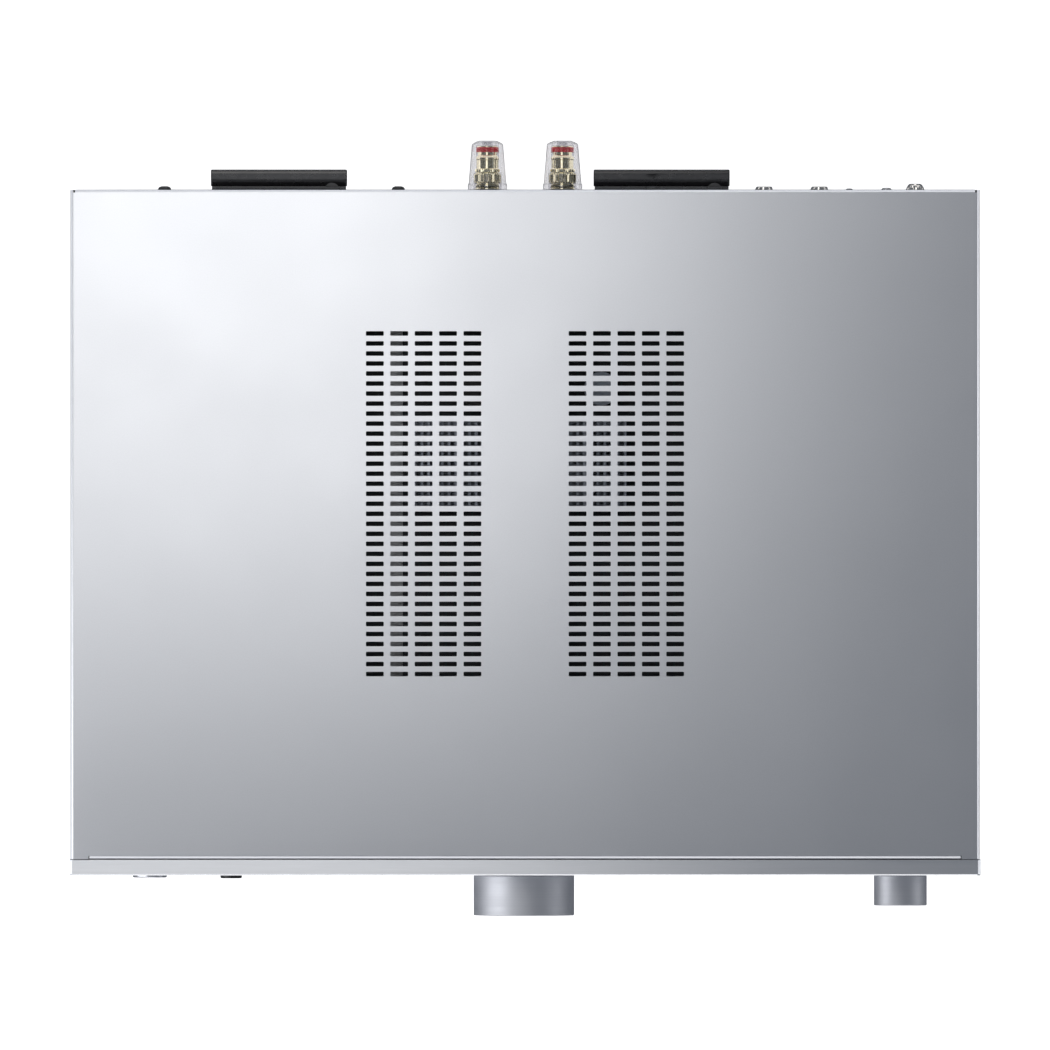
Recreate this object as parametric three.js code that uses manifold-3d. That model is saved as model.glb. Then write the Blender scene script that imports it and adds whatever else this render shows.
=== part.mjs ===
// An integrated stereo amplifier as an assembly of separate pieces, in millimetres.
// +X points right, +Y to the back and +Z up. The origin is on the floor, in the middle of the outer box.
import * as THREE from "three";
import { mergeGeometries, mergeVertices } from "three/addons/utils/BufferGeometryUtils.js";
import Module from "manifold-3d";

const wasm = await Module();
wasm.setup();

// ---------------------------------------------------------------- driving dimensions
const GAP = 0.3; // between pieces that touch
const SHEET = 1.2; // thickness of every folded sheet
const BODY_DEPTH = 323.6; // from the front panel's face to the cover's rear edge

const PANEL = { width: 430, height: 87.2, thick: 7.4, corner: 1.8, chamfer: 0.6 };
const COVER = { width: 429, rise: 0.8, bend: 1.4, skirt: 14.4, rearLip: 14, frontLip: 10, lipHalf: 206 };
const VENT = { columns: 5, rows: 35, slot: 8.37, height: 2.15, pitchX: 11.51, pitchY: 4.726 };
const VENT_INNER_X = 24.8; // centre line of the column nearest the middle
const VENT_FROM_REAR = 67.9; // from the cover's rear edge to the first row
const FOOT = { height: 14, radius: 22, sole: 19, x: 168, y: 118 };
const AXIS_Z = 58; // height of the front controls

const VOLUME = { x: -0.5, radius: 23.8, reach: 19.4, recess: 10 };
const SELECTOR = { x: 177.7, radius: 12.5, reach: 14.7, recess: 8 };
const KNOB_GAP = 0.5; // between a knob and the front panel
const SHAFT_RADIUS = 3;
const POWER = { x: -177.6, radius: 8.1, proud: 1.5, stem: 2.5 };
const PHONES = { x: -139.1, radius: 5.1, bore: 3.3, proud: 1.9 };
const WINDOW = { x: 94, width: 100, height: 30, corner: 2 };

const POST = { x: 17.75, upper: 74, lower: 46, reach: 23.5 };
const TERMINAL = { halfWidth: 31, low: 32, high: 86.8 };
const ANTENNA = {
  length: 64.3, end: 7.1, width: 14.4, reach: 9.7, corner: 1.2, z: 78, pin: 2.6, mount: 7.8, rest: 1.7,
};
const ANTENNA_PIVOTS = { left: -91.2, right: 89.6 };
const BAY = { low: 28, high: 68, left: 98, right: 154, depth: 5 };
const JACK_COLUMNS = { a: 113.2, b: 139.4 };
const JACK_ROWS = [38, 58];
const INLET = { x: -177, z: 44 };
const GROUND = { x: 184.8, z: 52 };
const COVER_SCREWS = [-170.1, -59.8, 59.8, 170.6];

// Places that follow from the driving dimensions.
const FRONT = VOLUME.reach - (VOLUME.reach + BODY_DEPTH + POST.reach) / 2; // the front panel's face
const PANEL_BACK = FRONT + PANEL.thick;
const REAR = FRONT + BODY_DEPTH; // the cover's rear edge
const FLOOR = FOOT.height; // the base pan's underside
const PAN_TOP = FLOOR + SHEET;
const TOP = FLOOR + PANEL.height;
const COVER_TOP = TOP + COVER.rise;
const COVER_FRONT = PANEL_BACK + GAP;
const REAR_FACE = REAR - SHEET - GAP; // the rear panel's outer face
const REAR_INNER = REAR_FACE - SHEET;
const BULKHEAD = PANEL_BACK + GAP; // front face of the sheet behind the front panel
const BULKHEAD_BACK = BULKHEAD + SHEET;
const BOARD_Z = 22; // underside of the two large boards
const BOARD_TOP = BOARD_Z + 1.6;
const CONTROL_BOARD = BULKHEAD_BACK + 9.2; // front face of the upright control board
const ROUND = 20; // sides of a small turned piece

// ---------------------------------------------------------------- finishes
const finish = (color, roughness, metalness) => new THREE.MeshStandardMaterial({ color, roughness, metalness });
const SILVER = finish(0xc9cbd1, 0.35, 1);
const ANODISED = finish(0xd3d4d8, 0.3, 1);
const STEEL = finish(0x8d9096, 0.45, 1);
const BLACK_SHEET = finish(0x1b1b1d, 0.5, 0.6);
const BLACK_PLASTIC = finish(0x17171a, 0.45, 0);
const RUBBER = finish(0x101011, 0.9, 0);
const GOLD = finish(0xd9bd7c, 0.2, 1);
const NICKEL = finish(0xc4bfb6, 0.2, 1);
const SMOKED = finish(0x08080a, 0.08, 0);
const CLEAR = new THREE.MeshStandardMaterial({ color: 0xdadae0, roughness: 0.1, transparent: true, opacity: 0.35 });
const BOARD = finish(0x1e5a38, 0.6, 0);
const COPPER = finish(0xa8623a, 0.4, 1);

// ---------------------------------------------------------------- shape helpers
// A closed three.js geometry as a solid for joining and cutting.
function solid(geometry) {
  const bare = geometry.index ? geometry.toNonIndexed() : geometry.clone();
  bare.deleteAttribute("normal");
  bare.deleteAttribute("uv");
  const merged = mergeVertices(bare, 1e-4);
  return new wasm.Manifold(
    new wasm.Mesh({
      numProp: 3,
      vertProperties: merged.attributes.position.array,
      triVerts: new Uint32Array(merged.index.array),
    }),
  );
}

function geometryOf(made) {
  const { vertProperties, triVerts } = made.getMesh();
  return new THREE.BufferGeometry()
    .setAttribute("position", new THREE.BufferAttribute(vertProperties, 3))
    .setIndex(new THREE.BufferAttribute(triVerts, 1))
    .toNonIndexed();
}

const joined = (...pieces) => geometryOf(pieces.map(solid).reduce((a, b) => a.add(b)));
const cut = (piece, ...tools) => geometryOf(tools.map(solid).reduce((a, b) => a.subtract(b), solid(piece)));

function box(x0, x1, y0, y1, z0, z1) {
  return new THREE.BoxGeometry(x1 - x0, y1 - y0, z1 - z0).translate((x0 + x1) / 2, (y0 + y1) / 2, (z0 + z1) / 2);
}

// A piece turned about the Y axis from [radius, y] points, up the outside and down the inside.
function turned(profile, sides = ROUND) {
  return new THREE.LatheGeometry(profile.map(([r, y]) => new THREE.Vector2(r, y)), sides);
}

const rod = (radius, y0, y1, sides = ROUND) => turned([[0, y0], [radius, y0], [radius, y1], [0, y1]], sides);
const ring = (inner, outer, y0, y1, sides = ROUND) =>
  turned([[inner, y0], [outer, y0], [outer, y1], [inner, y1], [inner, y0]], sides);
const upright = (geometry) => geometry.rotateX(Math.PI / 2); // turns the Y axis of a turned piece up to Z

// A front-view outline (x, z) as a slab from y0 to y1, with optional chamfered edges.
function slabY(outline, y0, y1, chamfer = 0) {
  const geometry = new THREE.ExtrudeGeometry(outline, {
    depth: y1 - y0 - 2 * chamfer,
    curveSegments: 5,
    bevelEnabled: chamfer > 0,
    bevelThickness: chamfer,
    bevelSize: chamfer,
    bevelOffset: -chamfer,
    bevelSegments: 1,
  });
  return geometry.rotateX(Math.PI / 2).translate(0, y1 - chamfer, 0);
}

// A side-view outline (y, z) as a slab from x0 to x1.
function slabX(outline, x0, x1) {
  const [x, y, z] = [new THREE.Vector3(1, 0, 0), new THREE.Vector3(0, 1, 0), new THREE.Vector3(0, 0, 1)];
  return new THREE.ExtrudeGeometry(outline, { depth: x1 - x0, curveSegments: 4, bevelEnabled: false })
    .applyMatrix4(new THREE.Matrix4().makeBasis(y, z, x))
    .translate(x0, 0, 0);
}

function roundedRect(x0, x1, z0, z1, radius) {
  const outline = new THREE.Shape();
  outline.absarc(x1 - radius, z0 + radius, radius, -Math.PI / 2, 0, false);
  outline.absarc(x1 - radius, z1 - radius, radius, 0, Math.PI / 2, false);
  outline.absarc(x0 + radius, z1 - radius, radius, Math.PI / 2, Math.PI, false);
  outline.absarc(x0 + radius, z0 + radius, radius, Math.PI, Math.PI * 1.5, false);
  return outline;
}

const polygon = (points) => new THREE.Shape(points.map(([a, b]) => new THREE.Vector2(a, b)));

// Cuts rectangles [x0, x1, z0, z1] and circles [x, z, radius] right through a sheet that lies from y0 to y1.
function pierce(sheet, y0, y1, rectangles, circles) {
  const windows = rectangles.map(([x0, x1, z0, z1]) => box(x0, x1, y0 - 1, y1 + 1, z0, z1));
  const bores = circles.map(([x, z, radius]) => rod(radius, y0 - 1, y1 + 1).translate(x, 0, z));
  return cut(sheet, ...windows, ...bores);
}

// ---------------------------------------------------------------- the assembly and its groups
const amplifier = new THREE.Group();

function add(name, geometry, material, parent = amplifier) {
  const mesh = new THREE.Mesh(geometry, material);
  mesh.name = name;
  parent.add(mesh);
  return mesh;
}

function groupAt(x, y, z) {
  const group = new THREE.Group();
  group.position.set(x, y, z);
  amplifier.add(group);
  return group;
}

// ---------------------------------------------------------------- case
const windowSides = (margin) => [
  WINDOW.x - WINDOW.width / 2 - margin,
  WINDOW.x + WINDOW.width / 2 + margin,
  AXIS_Z - WINDOW.height / 2 - margin,
  AXIS_Z + WINDOW.height / 2 + margin,
];

function frontPanel() {
  const outline = roundedRect(-PANEL.width / 2, PANEL.width / 2, FLOOR, TOP, PANEL.corner);
  const slab = slabY(outline, FRONT, PANEL_BACK, PANEL.chamfer);
  const window = slabY(roundedRect(...windowSides(0), WINDOW.corner), FRONT - 1, PANEL_BACK + 1);
  return pierce(cut(slab, window), FRONT, PANEL_BACK, [], [
    [VOLUME.x, AXIS_Z, 6],
    [SELECTOR.x, AXIS_Z, 6],
    [POWER.x, AXIS_Z, POWER.radius + 0.5],
    [PHONES.x, AXIS_Z, PHONES.radius + 0.4],
  ]);
}

function bulkhead() {
  const high = COVER_TOP - COVER.frontLip - 0.5;
  const sheet = box(-211, 211, BULKHEAD, BULKHEAD_BACK, PAN_TOP + GAP, high);
  const flange = box(-211, 211, BULKHEAD_BACK - 0.5, BULKHEAD_BACK + 10, high - SHEET, high);
  return joined(pierce(sheet, BULKHEAD, BULKHEAD_BACK, [windowSides(-1)], [
    [VOLUME.x, AXIS_Z, 6],
    [SELECTOR.x, AXIS_Z, 6],
    [POWER.x, AXIS_Z, POWER.stem + 1.5],
    [PHONES.x, AXIS_Z, PHONES.radius + 0.4],
  ]), flange);
}

function basePan() {
  const [half, front, back] = [COVER.width / 2 - SHEET - GAP, BULKHEAD_BACK + GAP, REAR_INNER - GAP];
  const section = polygon([
    [-half, FLOOR], [half, FLOOR], [half, 30], [half - SHEET, 30],
    [half - SHEET, PAN_TOP], [-half + SHEET, PAN_TOP], [-half + SHEET, 30], [-half, 30],
  ]);
  const pillars = [];
  for (const x of [-198, -75, -48, 195]) {
    for (const y of [-60, 132]) {
      pillars.push(upright(rod(3.5, PAN_TOP - 0.5, BOARD_Z - GAP, 8)).translate(x, y, 0));
    }
  }
  return joined(slabY(section, front, back), ...pillars);
}

// The bent edge of the cover, in side view: flat top, a rounded bend, then a lip of the given drop.
function lipOutline(edge, inward, drop) {
  const { bend } = COVER;
  const centre = edge + inward * bend;
  const outline = new THREE.Shape();
  const outside = inward < 0 ? 0 : Math.PI;
  outline.moveTo(centre, COVER_TOP);
  outline.absarc(centre, COVER_TOP - bend, bend, Math.PI / 2, outside, inward < 0);
  outline.lineTo(edge, COVER_TOP - drop);
  outline.lineTo(edge + inward * SHEET, COVER_TOP - drop);
  outline.absarc(centre, COVER_TOP - bend, bend - SHEET, outside, Math.PI / 2, inward > 0);
  return outline;
}

function ventSlots() {
  const slots = [];
  for (const side of [-1, 1]) {
    for (let column = 0; column < VENT.columns; column++) {
      for (let row = 0; row < VENT.rows; row++) {
        const x = side * (VENT_INNER_X + column * VENT.pitchX);
        const y = REAR - VENT_FROM_REAR - row * VENT.pitchY;
        slots.push(new THREE.BoxGeometry(VENT.slot, VENT.height, 4).translate(x, y, COVER_TOP));
      }
    }
  }
  return mergeGeometries(slots);
}

function topCover() {
  const { bend, skirt, lipHalf } = COVER;
  const half = COVER.width / 2;
  const arch = new THREE.Shape();
  arch.moveTo(-half, skirt);
  arch.lineTo(-half, COVER_TOP - bend);
  arch.absarc(-half + bend, COVER_TOP - bend, bend, Math.PI, Math.PI / 2, true);
  arch.absarc(half - bend, COVER_TOP - bend, bend, Math.PI / 2, 0, true);
  arch.lineTo(half, skirt);
  arch.lineTo(half - SHEET, skirt);
  arch.absarc(half - bend, COVER_TOP - bend, bend - SHEET, 0, Math.PI / 2, false);
  arch.absarc(-half + bend, COVER_TOP - bend, bend - SHEET, Math.PI / 2, Math.PI, false);
  arch.lineTo(-half + SHEET, skirt);
  const frontLipEdge = COVER_FRONT + 0.2;
  const shell = slabY(arch, COVER_FRONT, REAR - 0.1);
  const frontNotch = box(-lipHalf, lipHalf, COVER_FRONT - 1, frontLipEdge + bend, skirt, TOP + 1);
  const rearNotch = box(-half + bend, half - bend, REAR - bend, REAR + 1, skirt, TOP + 1);
  const frontLip = slabX(lipOutline(frontLipEdge, 1, COVER.frontLip), 0.5 - lipHalf, lipHalf - 0.5);
  const rearLip = slabX(lipOutline(REAR, -1, COVER.rearLip), 0.5 + bend - half, half - bend - 0.5);
  const folded = joined(cut(shell, frontNotch, rearNotch), frontLip, rearLip);
  const screwHoles = COVER_SCREWS.map((x) => rod(1.8, REAR - 3, REAR + 1, 8).translate(x, 0, COVER_TOP - 7));
  return cut(folded, ventSlots(), ...screwHoles);
}

function rearPanel() {
  const half = COVER.width / 2 - SHEET - GAP - SHEET - GAP;
  const sheet = box(-half, half, REAR_INNER, REAR_FACE, PAN_TOP + GAP, COVER_TOP - SHEET - GAP);
  const { halfWidth, low, high } = TERMINAL;
  const rectangles = [
    [-halfWidth - GAP, halfWidth + GAP, low - GAP, high + GAP],
    [BAY.left, BAY.right, BAY.low, BAY.high],
    [INLET.x - 14, INLET.x + 14, INLET.z - 10.3, INLET.z + 10.3],
    [35.7, 46.3, BOARD_TOP, 34.5],
    [49.7, 66.3, BOARD_TOP, 37.7],
    [69.7, 84.7, BOARD_TOP, 31.3],
  ];
  const circles = [
    ...Object.values(ANTENNA_PIVOTS).map((x) => [x, ANTENNA.z, 4.4]),
    ...COVER_SCREWS.map((x) => [x, COVER_TOP - 7, 1.8]),
  ];
  const groundStud = rod(1.8, REAR_INNER + 0.2, REAR + 2.4, 12).translate(GROUND.x, 0, GROUND.z);
  return joined(pierce(sheet, REAR_INNER, REAR_FACE, rectangles, circles), groundStud);
}

function foot() {
  const { radius, sole, height } = FOOT;
  return upright(turned([[0, 0], [sole, 0], [radius, 2.5], [radius, height - GAP], [0, height - GAP]], 28));
}

// A pan-head screw on the Y axis: the head ends at y, and the shank runs inwards from it.
function screw(headRadius, headHeight, y) {
  const under = y - headHeight;
  return turned(
    [[0, under - 6], [1.4, under - 6], [1.4, under], [headRadius, under], [headRadius, y - 0.7],
      [headRadius - 0.9, y], [0, y]],
    12,
  );
}

function addCase() {
  add("front_panel", frontPanel(), ANODISED);
  add("front_bulkhead", bulkhead(), STEEL);
  add("base_pan", basePan(), STEEL);
  add("top_cover", topCover(), SILVER);
  add("rear_panel", rearPanel(), SILVER);
  for (const [side, x] of [["left", -FOOT.x], ["right", FOOT.x]]) {
    for (const [end, y] of [["front", -FOOT.y], ["rear", FOOT.y]]) {
      add(`foot_${end}_${side}`, foot(), RUBBER, groupAt(x, y, 0));
    }
  }
  COVER_SCREWS.forEach((x, i) => {
    const small = x === COVER_SCREWS.at(-1);
    const [radius, height] = small ? [2.4, 0.8] : [3.1, 1.55];
    const head = groupAt(x, REAR + GAP / 2, COVER_TOP - 7);
    add(`cover_screw_${i + 1}`, screw(radius, height, height), small ? NICKEL : BLACK_SHEET, head);
  });
}

// ---------------------------------------------------------------- front controls
// A turned knob with a hollow back and a blind bore for its shaft.
function knob({ radius, reach, recess }, sides) {
  const edge = 0.3;
  const floor = -reach + recess;
  return turned(
    [[0, -reach], [radius - edge, -reach], [radius, edge - reach], [radius, -KNOB_GAP],
      [radius - 2.5, -KNOB_GAP], [radius - 2.5, floor], [SHAFT_RADIUS + 2.8, floor], [SHAFT_RADIUS + 2.8, -5],
      [SHAFT_RADIUS + GAP, -5], [SHAFT_RADIUS + GAP, 3 - reach], [0, 3 - reach]],
    sides,
  );
}

// A rotary encoder: a square body behind the bulkhead and a threaded bush that reaches through the panel.
function encoder(bodyHalf) {
  const start = BULKHEAD_BACK + GAP - FRONT;
  const body = box(-bodyHalf, bodyHalf, start, start + 8, -bodyHalf, bodyHalf);
  return cut(joined(body, rod(5, -2.5, start + 1)), rod(SHAFT_RADIUS + 0.4, -3, start + 6.6));
}

function addKnob(name, control, sides, bodyHalf) {
  const centre = groupAt(control.x, FRONT, AXIS_Z);
  const shaftEnd = BULKHEAD_BACK + GAP + 6 - FRONT;
  add(`${name}_knob`, knob(control, sides), ANODISED, centre);
  add(`${name}_shaft`, rod(SHAFT_RADIUS, 3 + GAP - control.reach, shaftEnd), STEEL, centre);
  add(`${name}_encoder`, encoder(bodyHalf), STEEL, centre);
}

function powerButton() {
  const { radius, proud, stem } = POWER;
  const back = 5.2;
  const stemEnd = CONTROL_BOARD - FRONT - 5.3;
  return turned(
    [[0, -proud], [radius - 0.4, -proud], [radius, 0.4 - proud], [radius, back],
      [stem, back], [stem, stemEnd], [0, stemEnd]],
    32,
  );
}

function phonesJack() {
  const { radius, bore, proud } = PHONES;
  const start = BULKHEAD_BACK + GAP - FRONT;
  const barrel = turned(
    [[0, -proud], [radius - 0.5, -proud], [radius, 0.5 - proud], [radius, start + 1], [0, start + 1]],
  );
  return cut(joined(box(-8, 8, start, start + 30, -7, 7), barrel), rod(bore, -proud - 1, start + 24));
}

function controlBoard() {
  const back = CONTROL_BOARD + 1.6;
  const phones = [PHONES.x - 8.5, PHONES.x + 8.5, AXIS_Z - 7.5, AXIS_Z + 7.5];
  const board = pierce(box(-195, 200, CONTROL_BOARD, back, 36, 80), CONTROL_BOARD, back, [phones], []);
  const pushSwitch = box(-6, 6, CONTROL_BOARD - 3, CONTROL_BOARD + 0.5, -6, 6);
  return joined(board, pushSwitch.translate(POWER.x, 0, AXIS_Z));
}

function addControls() {
  addKnob("volume", VOLUME, 48, 10);
  addKnob("selector", SELECTOR, 36, 8);
  add("power_button", powerButton(), ANODISED, groupAt(POWER.x, FRONT, AXIS_Z));
  add("headphone_jack", phonesJack(), BLACK_PLASTIC, groupAt(PHONES.x, FRONT, AXIS_Z));
  add("control_board", controlBoard(), BOARD);
  const lens = roundedRect(...windowSides(-GAP), WINDOW.corner - GAP);
  add("display_lens", slabY(lens, FRONT + 0.25, FRONT + 3.25), SMOKED);
  const [x0, x1, z0, z1] = windowSides(-3);
  add("display_module", box(x0, x1, FRONT + 3.25 + GAP, CONTROL_BOARD - GAP, z0, z1), BLACK_PLASTIC);
}

// ---------------------------------------------------------------- loudspeaker terminals
// Distances along a post are from the cover's rear edge. A post's cap screws outwards on its stud.
const PLATE_FACE = -0.1;

function terminalPlate() {
  const { halfWidth, low, high } = TERMINAL;
  const [front, back] = [REAR_INNER - 5, REAR + PLATE_FACE];
  const holes = [];
  for (const x of [-POST.x, POST.x]) {
    for (const z of [POST.upper, POST.lower]) {
      holes.push([x, z, 2.7]);
    }
  }
  return pierce(box(-halfWidth, halfWidth, front, back, low, high), front, back, [], holes);
}

const postStud = () =>
  turned([[0, -14], [2.2, -14], [2.2, -11.5], [4.4, -11.5], [4.4, -7.8], [2.2, -7.8], [2.2, 16], [0, 16]], 12);
const postWasher = () => ring(2.6, 5.8, 0.3, 1.0, 16);
const postNut = () =>
  turned(
    [[2.6, 1.3], [5.7, 1.3], [5.7, 3.9], [6.4, 3.9], [6.4, 7.9], [5.2, 8.3], [5.2, 15.7],
      [4.8, 15.9], [4.8, 20.9], [2.6, 20.9], [2.6, 1.3]],
    18,
  );

function postShell() {
  const { reach } = POST;
  return turned(
    [[6.9, 0.45], [9.35, 0.45], [9.35, 2.9], [8.9, 3.5], [7.45, reach - 1.8], [4.6, reach], [2.6, reach],
      [2.6, 21.4], [5.6, 21.4], [5.6, 8.8], [6.9, 8.2], [6.9, 0.45]],
    20,
  );
}

function addTerminals() {
  add("terminal_plate", terminalPlate(), BLACK_PLASTIC);
  for (const [side, x] of [["left", -POST.x], ["right", POST.x]]) {
    for (const [sign, z] of [["plus", POST.upper], ["minus", POST.lower]]) {
      const post = groupAt(x, REAR, z);
      add(`post_${side}_${sign}_stud`, postStud(), GOLD, post);
      add(`post_${side}_${sign}_washer`, postWasher(), GOLD, post);
      add(`post_${side}_${sign}_nut`, postNut(), GOLD, post);
      add(`post_${side}_${sign}_shell`, postShell(), CLEAR, post);
    }
  }
}

// ---------------------------------------------------------------- other rear connectors
function jackBay() {
  const { low, high, left, right, depth } = BAY;
  const floor = REAR_FACE - depth;
  const tray = box(left + GAP, right - GAP, floor - SHEET, REAR_FACE + 1, low + GAP, high - GAP);
  const rim = box(left - 1.5, right + 1.5, REAR_FACE + GAP, REAR_FACE + 1.1, low - 1.5, high + 1.5);
  const wall = SHEET + GAP;
  const hollow = box(left + wall, right - wall, floor, REAR + 1, low + wall, high - wall);
  const holes = [];
  for (const x of Object.values(JACK_COLUMNS)) {
    for (const z of JACK_ROWS) {
      holes.push(rod(4.55, floor - 3, floor + 1, 16).translate(x, 0, z));
    }
  }
  return cut(joined(tray, rim), hollow, ...holes);
}

// A phono jack block: two sockets one above the other on one moulded body.
function phonoPair() {
  const floor = REAR_FACE - BAY.depth - SHEET - GAP - REAR;
  const block = box(-5.5, 5.5, floor - 11, floor, JACK_ROWS[0] - 8, JACK_ROWS[1] + 8);
  const sockets = JACK_ROWS.map((z) =>
    turned(
      [[0, floor - 1], [4.15, floor - 1], [4.15, 1.3], [3.4, 2.1], [3.1, 2.1], [3.1, 1.5],
        [1.65, 1.5], [1.65, -7], [0, -7]],
      16,
    ).translate(0, 0, z),
  );
  return joined(block, ...sockets);
}

function mainsInlet() {
  const body = box(-13.7, 13.7, -26, -0.8, -10, 10);
  const flange = box(-15.7, 15.7, REAR_FACE + GAP - REAR, -0.05, -12, 12);
  const socket = box(-12.1, 12.1, -17, 1, -7.8, 7.8);
  const blades = [[-7, -2], [0, 2], [7, -2]].map(([x, z]) => box(x - 1, x + 1, -17.5, -2, z - 2, z + 2));
  return joined(cut(joined(body, flange), socket), ...blades);
}

// A board-mounted socket: an outer can with a rectangular mouth that opens to the back.
function socketCan(halfWidth, height, depth, mouthHalf, mouthLow, mouthHigh, mouthDepth) {
  const can = box(-halfWidth, halfWidth, -depth, -0.6, 0, height);
  return cut(can, box(-mouthHalf, mouthHalf, -mouthDepth, 1, mouthLow, mouthHigh));
}

function usbSocket() {
  const tongue = box(-5.6, 5.6, -14, -2, 3.9, 5.4);
  return joined(socketCan(7, 7, 18, 6.4, 0.8, 6.2, 13), tongue);
}

// The antenna's fixed swivel: a disc and a long rest plate on the rear panel, with the pin that the arm turns on.
function antennaMount() {
  const face = REAR_FACE + GAP - REAR;
  const { length, end, pin, mount, rest } = ANTENNA;
  const plate = box(end - length + 0.5, end - 0.5, face, rest, -7, 7);
  const swivel = turned([
    [0, -7], [4, -7], [4, face + 0.5], [mount, face + 0.5], [mount, rest - 0.6], [mount - 0.6, rest - 0.1],
    [pin, rest - 0.1], [pin, 6.6], [0, 6.6],
  ]);
  return joined(plate, swivel);
}

// The arm lies towards -X from its pivot, just behind its rest plate, and has square ends.
function antennaArm() {
  const { width, length, end, reach, corner, pin, rest } = ANTENNA;
  const outline = roundedRect(end - length, end, -width / 2, width / 2, corner);
  return cut(slabY(outline, rest + GAP / 2, reach, 0.8), rod(pin + 0.35, rest - 1, 7.2));
}

const groundNut = () =>
  turned([[2.15, -1.05], [4.4, -1.05], [4.4, 1.0], [3.5, 1.2], [3.5, 2.9], [2.9, 3.5], [2.15, 3.5], [2.15, -1.05]],
    20);

function addConnectors() {
  add("jack_bay", jackBay(), BLACK_PLASTIC);
  for (const [name, x] of Object.entries(JACK_COLUMNS)) {
    add(`phono_pair_${name}`, phonoPair(), NICKEL, groupAt(x, REAR, 0));
  }
  add("ac_inlet", mainsInlet(), BLACK_PLASTIC, groupAt(INLET.x, REAR, INLET.z));
  add("network_jack", socketCan(8, 13.5, 21, 5.9, 2, 10.2, 15), STEEL, groupAt(58, REAR, BOARD_TOP + GAP));
  add("usb_jack", usbSocket(), STEEL, groupAt(77.2, REAR, BOARD_TOP + GAP));
  add("optical_jack", socketCan(5, 10.2, 16, 3, 2, 8, 3), BLACK_PLASTIC, groupAt(41, REAR, BOARD_TOP + GAP));
  add("ground_nut", groundNut(), NICKEL, groupAt(GROUND.x, REAR, GROUND.z));
  for (const [side, x] of Object.entries(ANTENNA_PIVOTS)) {
    const pivot = groupAt(x, REAR, ANTENNA.z);
    add(`antenna_mount_${side}`, antennaMount(), BLACK_PLASTIC, pivot);
    add(`antenna_${side}`, antennaArm(), BLACK_PLASTIC, pivot);
  }
}

// ---------------------------------------------------------------- inside
function heatsink() {
  const [left, pitch, fins, fin] = [-52.5, 3.2, 32, 1.2];
  const low = BOARD_TOP + GAP;
  const right = left + (fins - 1) * pitch + fin;
  const points = [[left, low], [right, low]];
  for (let i = fins - 1; i >= 0; i--) {
    const x = left + i * pitch;
    points.push([x + fin, 84], [x, 84]);
    if (i > 0) {
      points.push([x, 34], [x - pitch + fin, 34]);
    }
  }
  return slabY(polygon(points), REAR - 150, REAR - 109);
}

function transformer() {
  const low = BOARD_TOP + GAP;
  const core = box(-32, 32, -26, 26, low, 70);
  const windows = [-1, 1].map((side) => box(side * 17 - 6, side * 17 + 6, -30, 30, low + 12, 60));
  const coil = box(-19, 19, -34, 34, low + 8, 64);
  return joined(cut(core, ...windows), coil);
}

const capacitor = (radius, height) =>
  upright(
    turned([[0, 0], [radius, 0], [radius, 3], [radius - 0.6, 3.8], [radius, 4.6], [radius, height], [0, height]]),
  );

function addInternals() {
  const low = BOARD_TOP + GAP;
  add("power_board", box(-205, -66, -70, REAR_INNER - 0.4, BOARD_Z, BOARD_TOP), BOARD);
  add("main_board", box(-58, 205, -70, REAR_INNER - 0.4, BOARD_Z, BOARD_TOP), BOARD);
  add("input_board", box(96, 200, 138, 139.6, low, 88), BOARD);
  add("transformer", transformer(), COPPER, groupAt(-138, 20, 0));
  add("heatsink", heatsink(), SILVER);
  add("capacitor_left", capacitor(8, 46), SILVER, groupAt(-24, 66, low));
  add("capacitor_right", capacitor(8, 46), SILVER, groupAt(36, 66, low));
}

addCase();
addControls();
addTerminals();
addConnectors();
addInternals();

export default amplifier;
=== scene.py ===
"""An integrated stereo amplifier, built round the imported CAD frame.

Shapes are in millimetres, in the frame's own axes, until piece() scales them. Lights and the camera are in
metres.
"""

from math import cos, pi, radians, sin, tan

import bmesh
import bpy
from mathutils import Matrix, Vector


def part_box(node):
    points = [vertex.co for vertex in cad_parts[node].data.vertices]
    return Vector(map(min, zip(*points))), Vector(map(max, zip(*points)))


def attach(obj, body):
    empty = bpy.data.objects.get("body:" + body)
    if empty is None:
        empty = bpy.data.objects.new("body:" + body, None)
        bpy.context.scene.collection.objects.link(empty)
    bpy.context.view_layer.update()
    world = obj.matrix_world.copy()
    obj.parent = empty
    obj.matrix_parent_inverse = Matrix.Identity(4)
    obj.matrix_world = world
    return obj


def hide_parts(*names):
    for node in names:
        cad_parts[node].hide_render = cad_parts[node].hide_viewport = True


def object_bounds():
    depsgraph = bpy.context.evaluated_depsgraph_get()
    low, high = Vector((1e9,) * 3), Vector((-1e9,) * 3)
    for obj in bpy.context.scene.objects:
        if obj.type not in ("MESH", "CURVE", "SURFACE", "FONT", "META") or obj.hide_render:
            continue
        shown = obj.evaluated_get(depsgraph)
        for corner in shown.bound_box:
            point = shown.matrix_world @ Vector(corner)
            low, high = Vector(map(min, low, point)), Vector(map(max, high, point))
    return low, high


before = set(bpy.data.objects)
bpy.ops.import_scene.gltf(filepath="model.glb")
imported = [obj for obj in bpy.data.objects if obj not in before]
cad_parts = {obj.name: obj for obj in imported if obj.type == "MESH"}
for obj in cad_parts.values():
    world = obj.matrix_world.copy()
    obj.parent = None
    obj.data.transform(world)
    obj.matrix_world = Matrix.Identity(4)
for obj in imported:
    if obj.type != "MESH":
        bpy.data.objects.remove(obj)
cad_low, cad_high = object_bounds()

MM = 0.001
scene = bpy.context.scene

# ---- places, all from the CAD nodes


def low(node):
    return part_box(node)[0] / MM


def high(node):
    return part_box(node)[1] / MM


def middle(node):
    return (low(node) + high(node)) / 2


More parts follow.
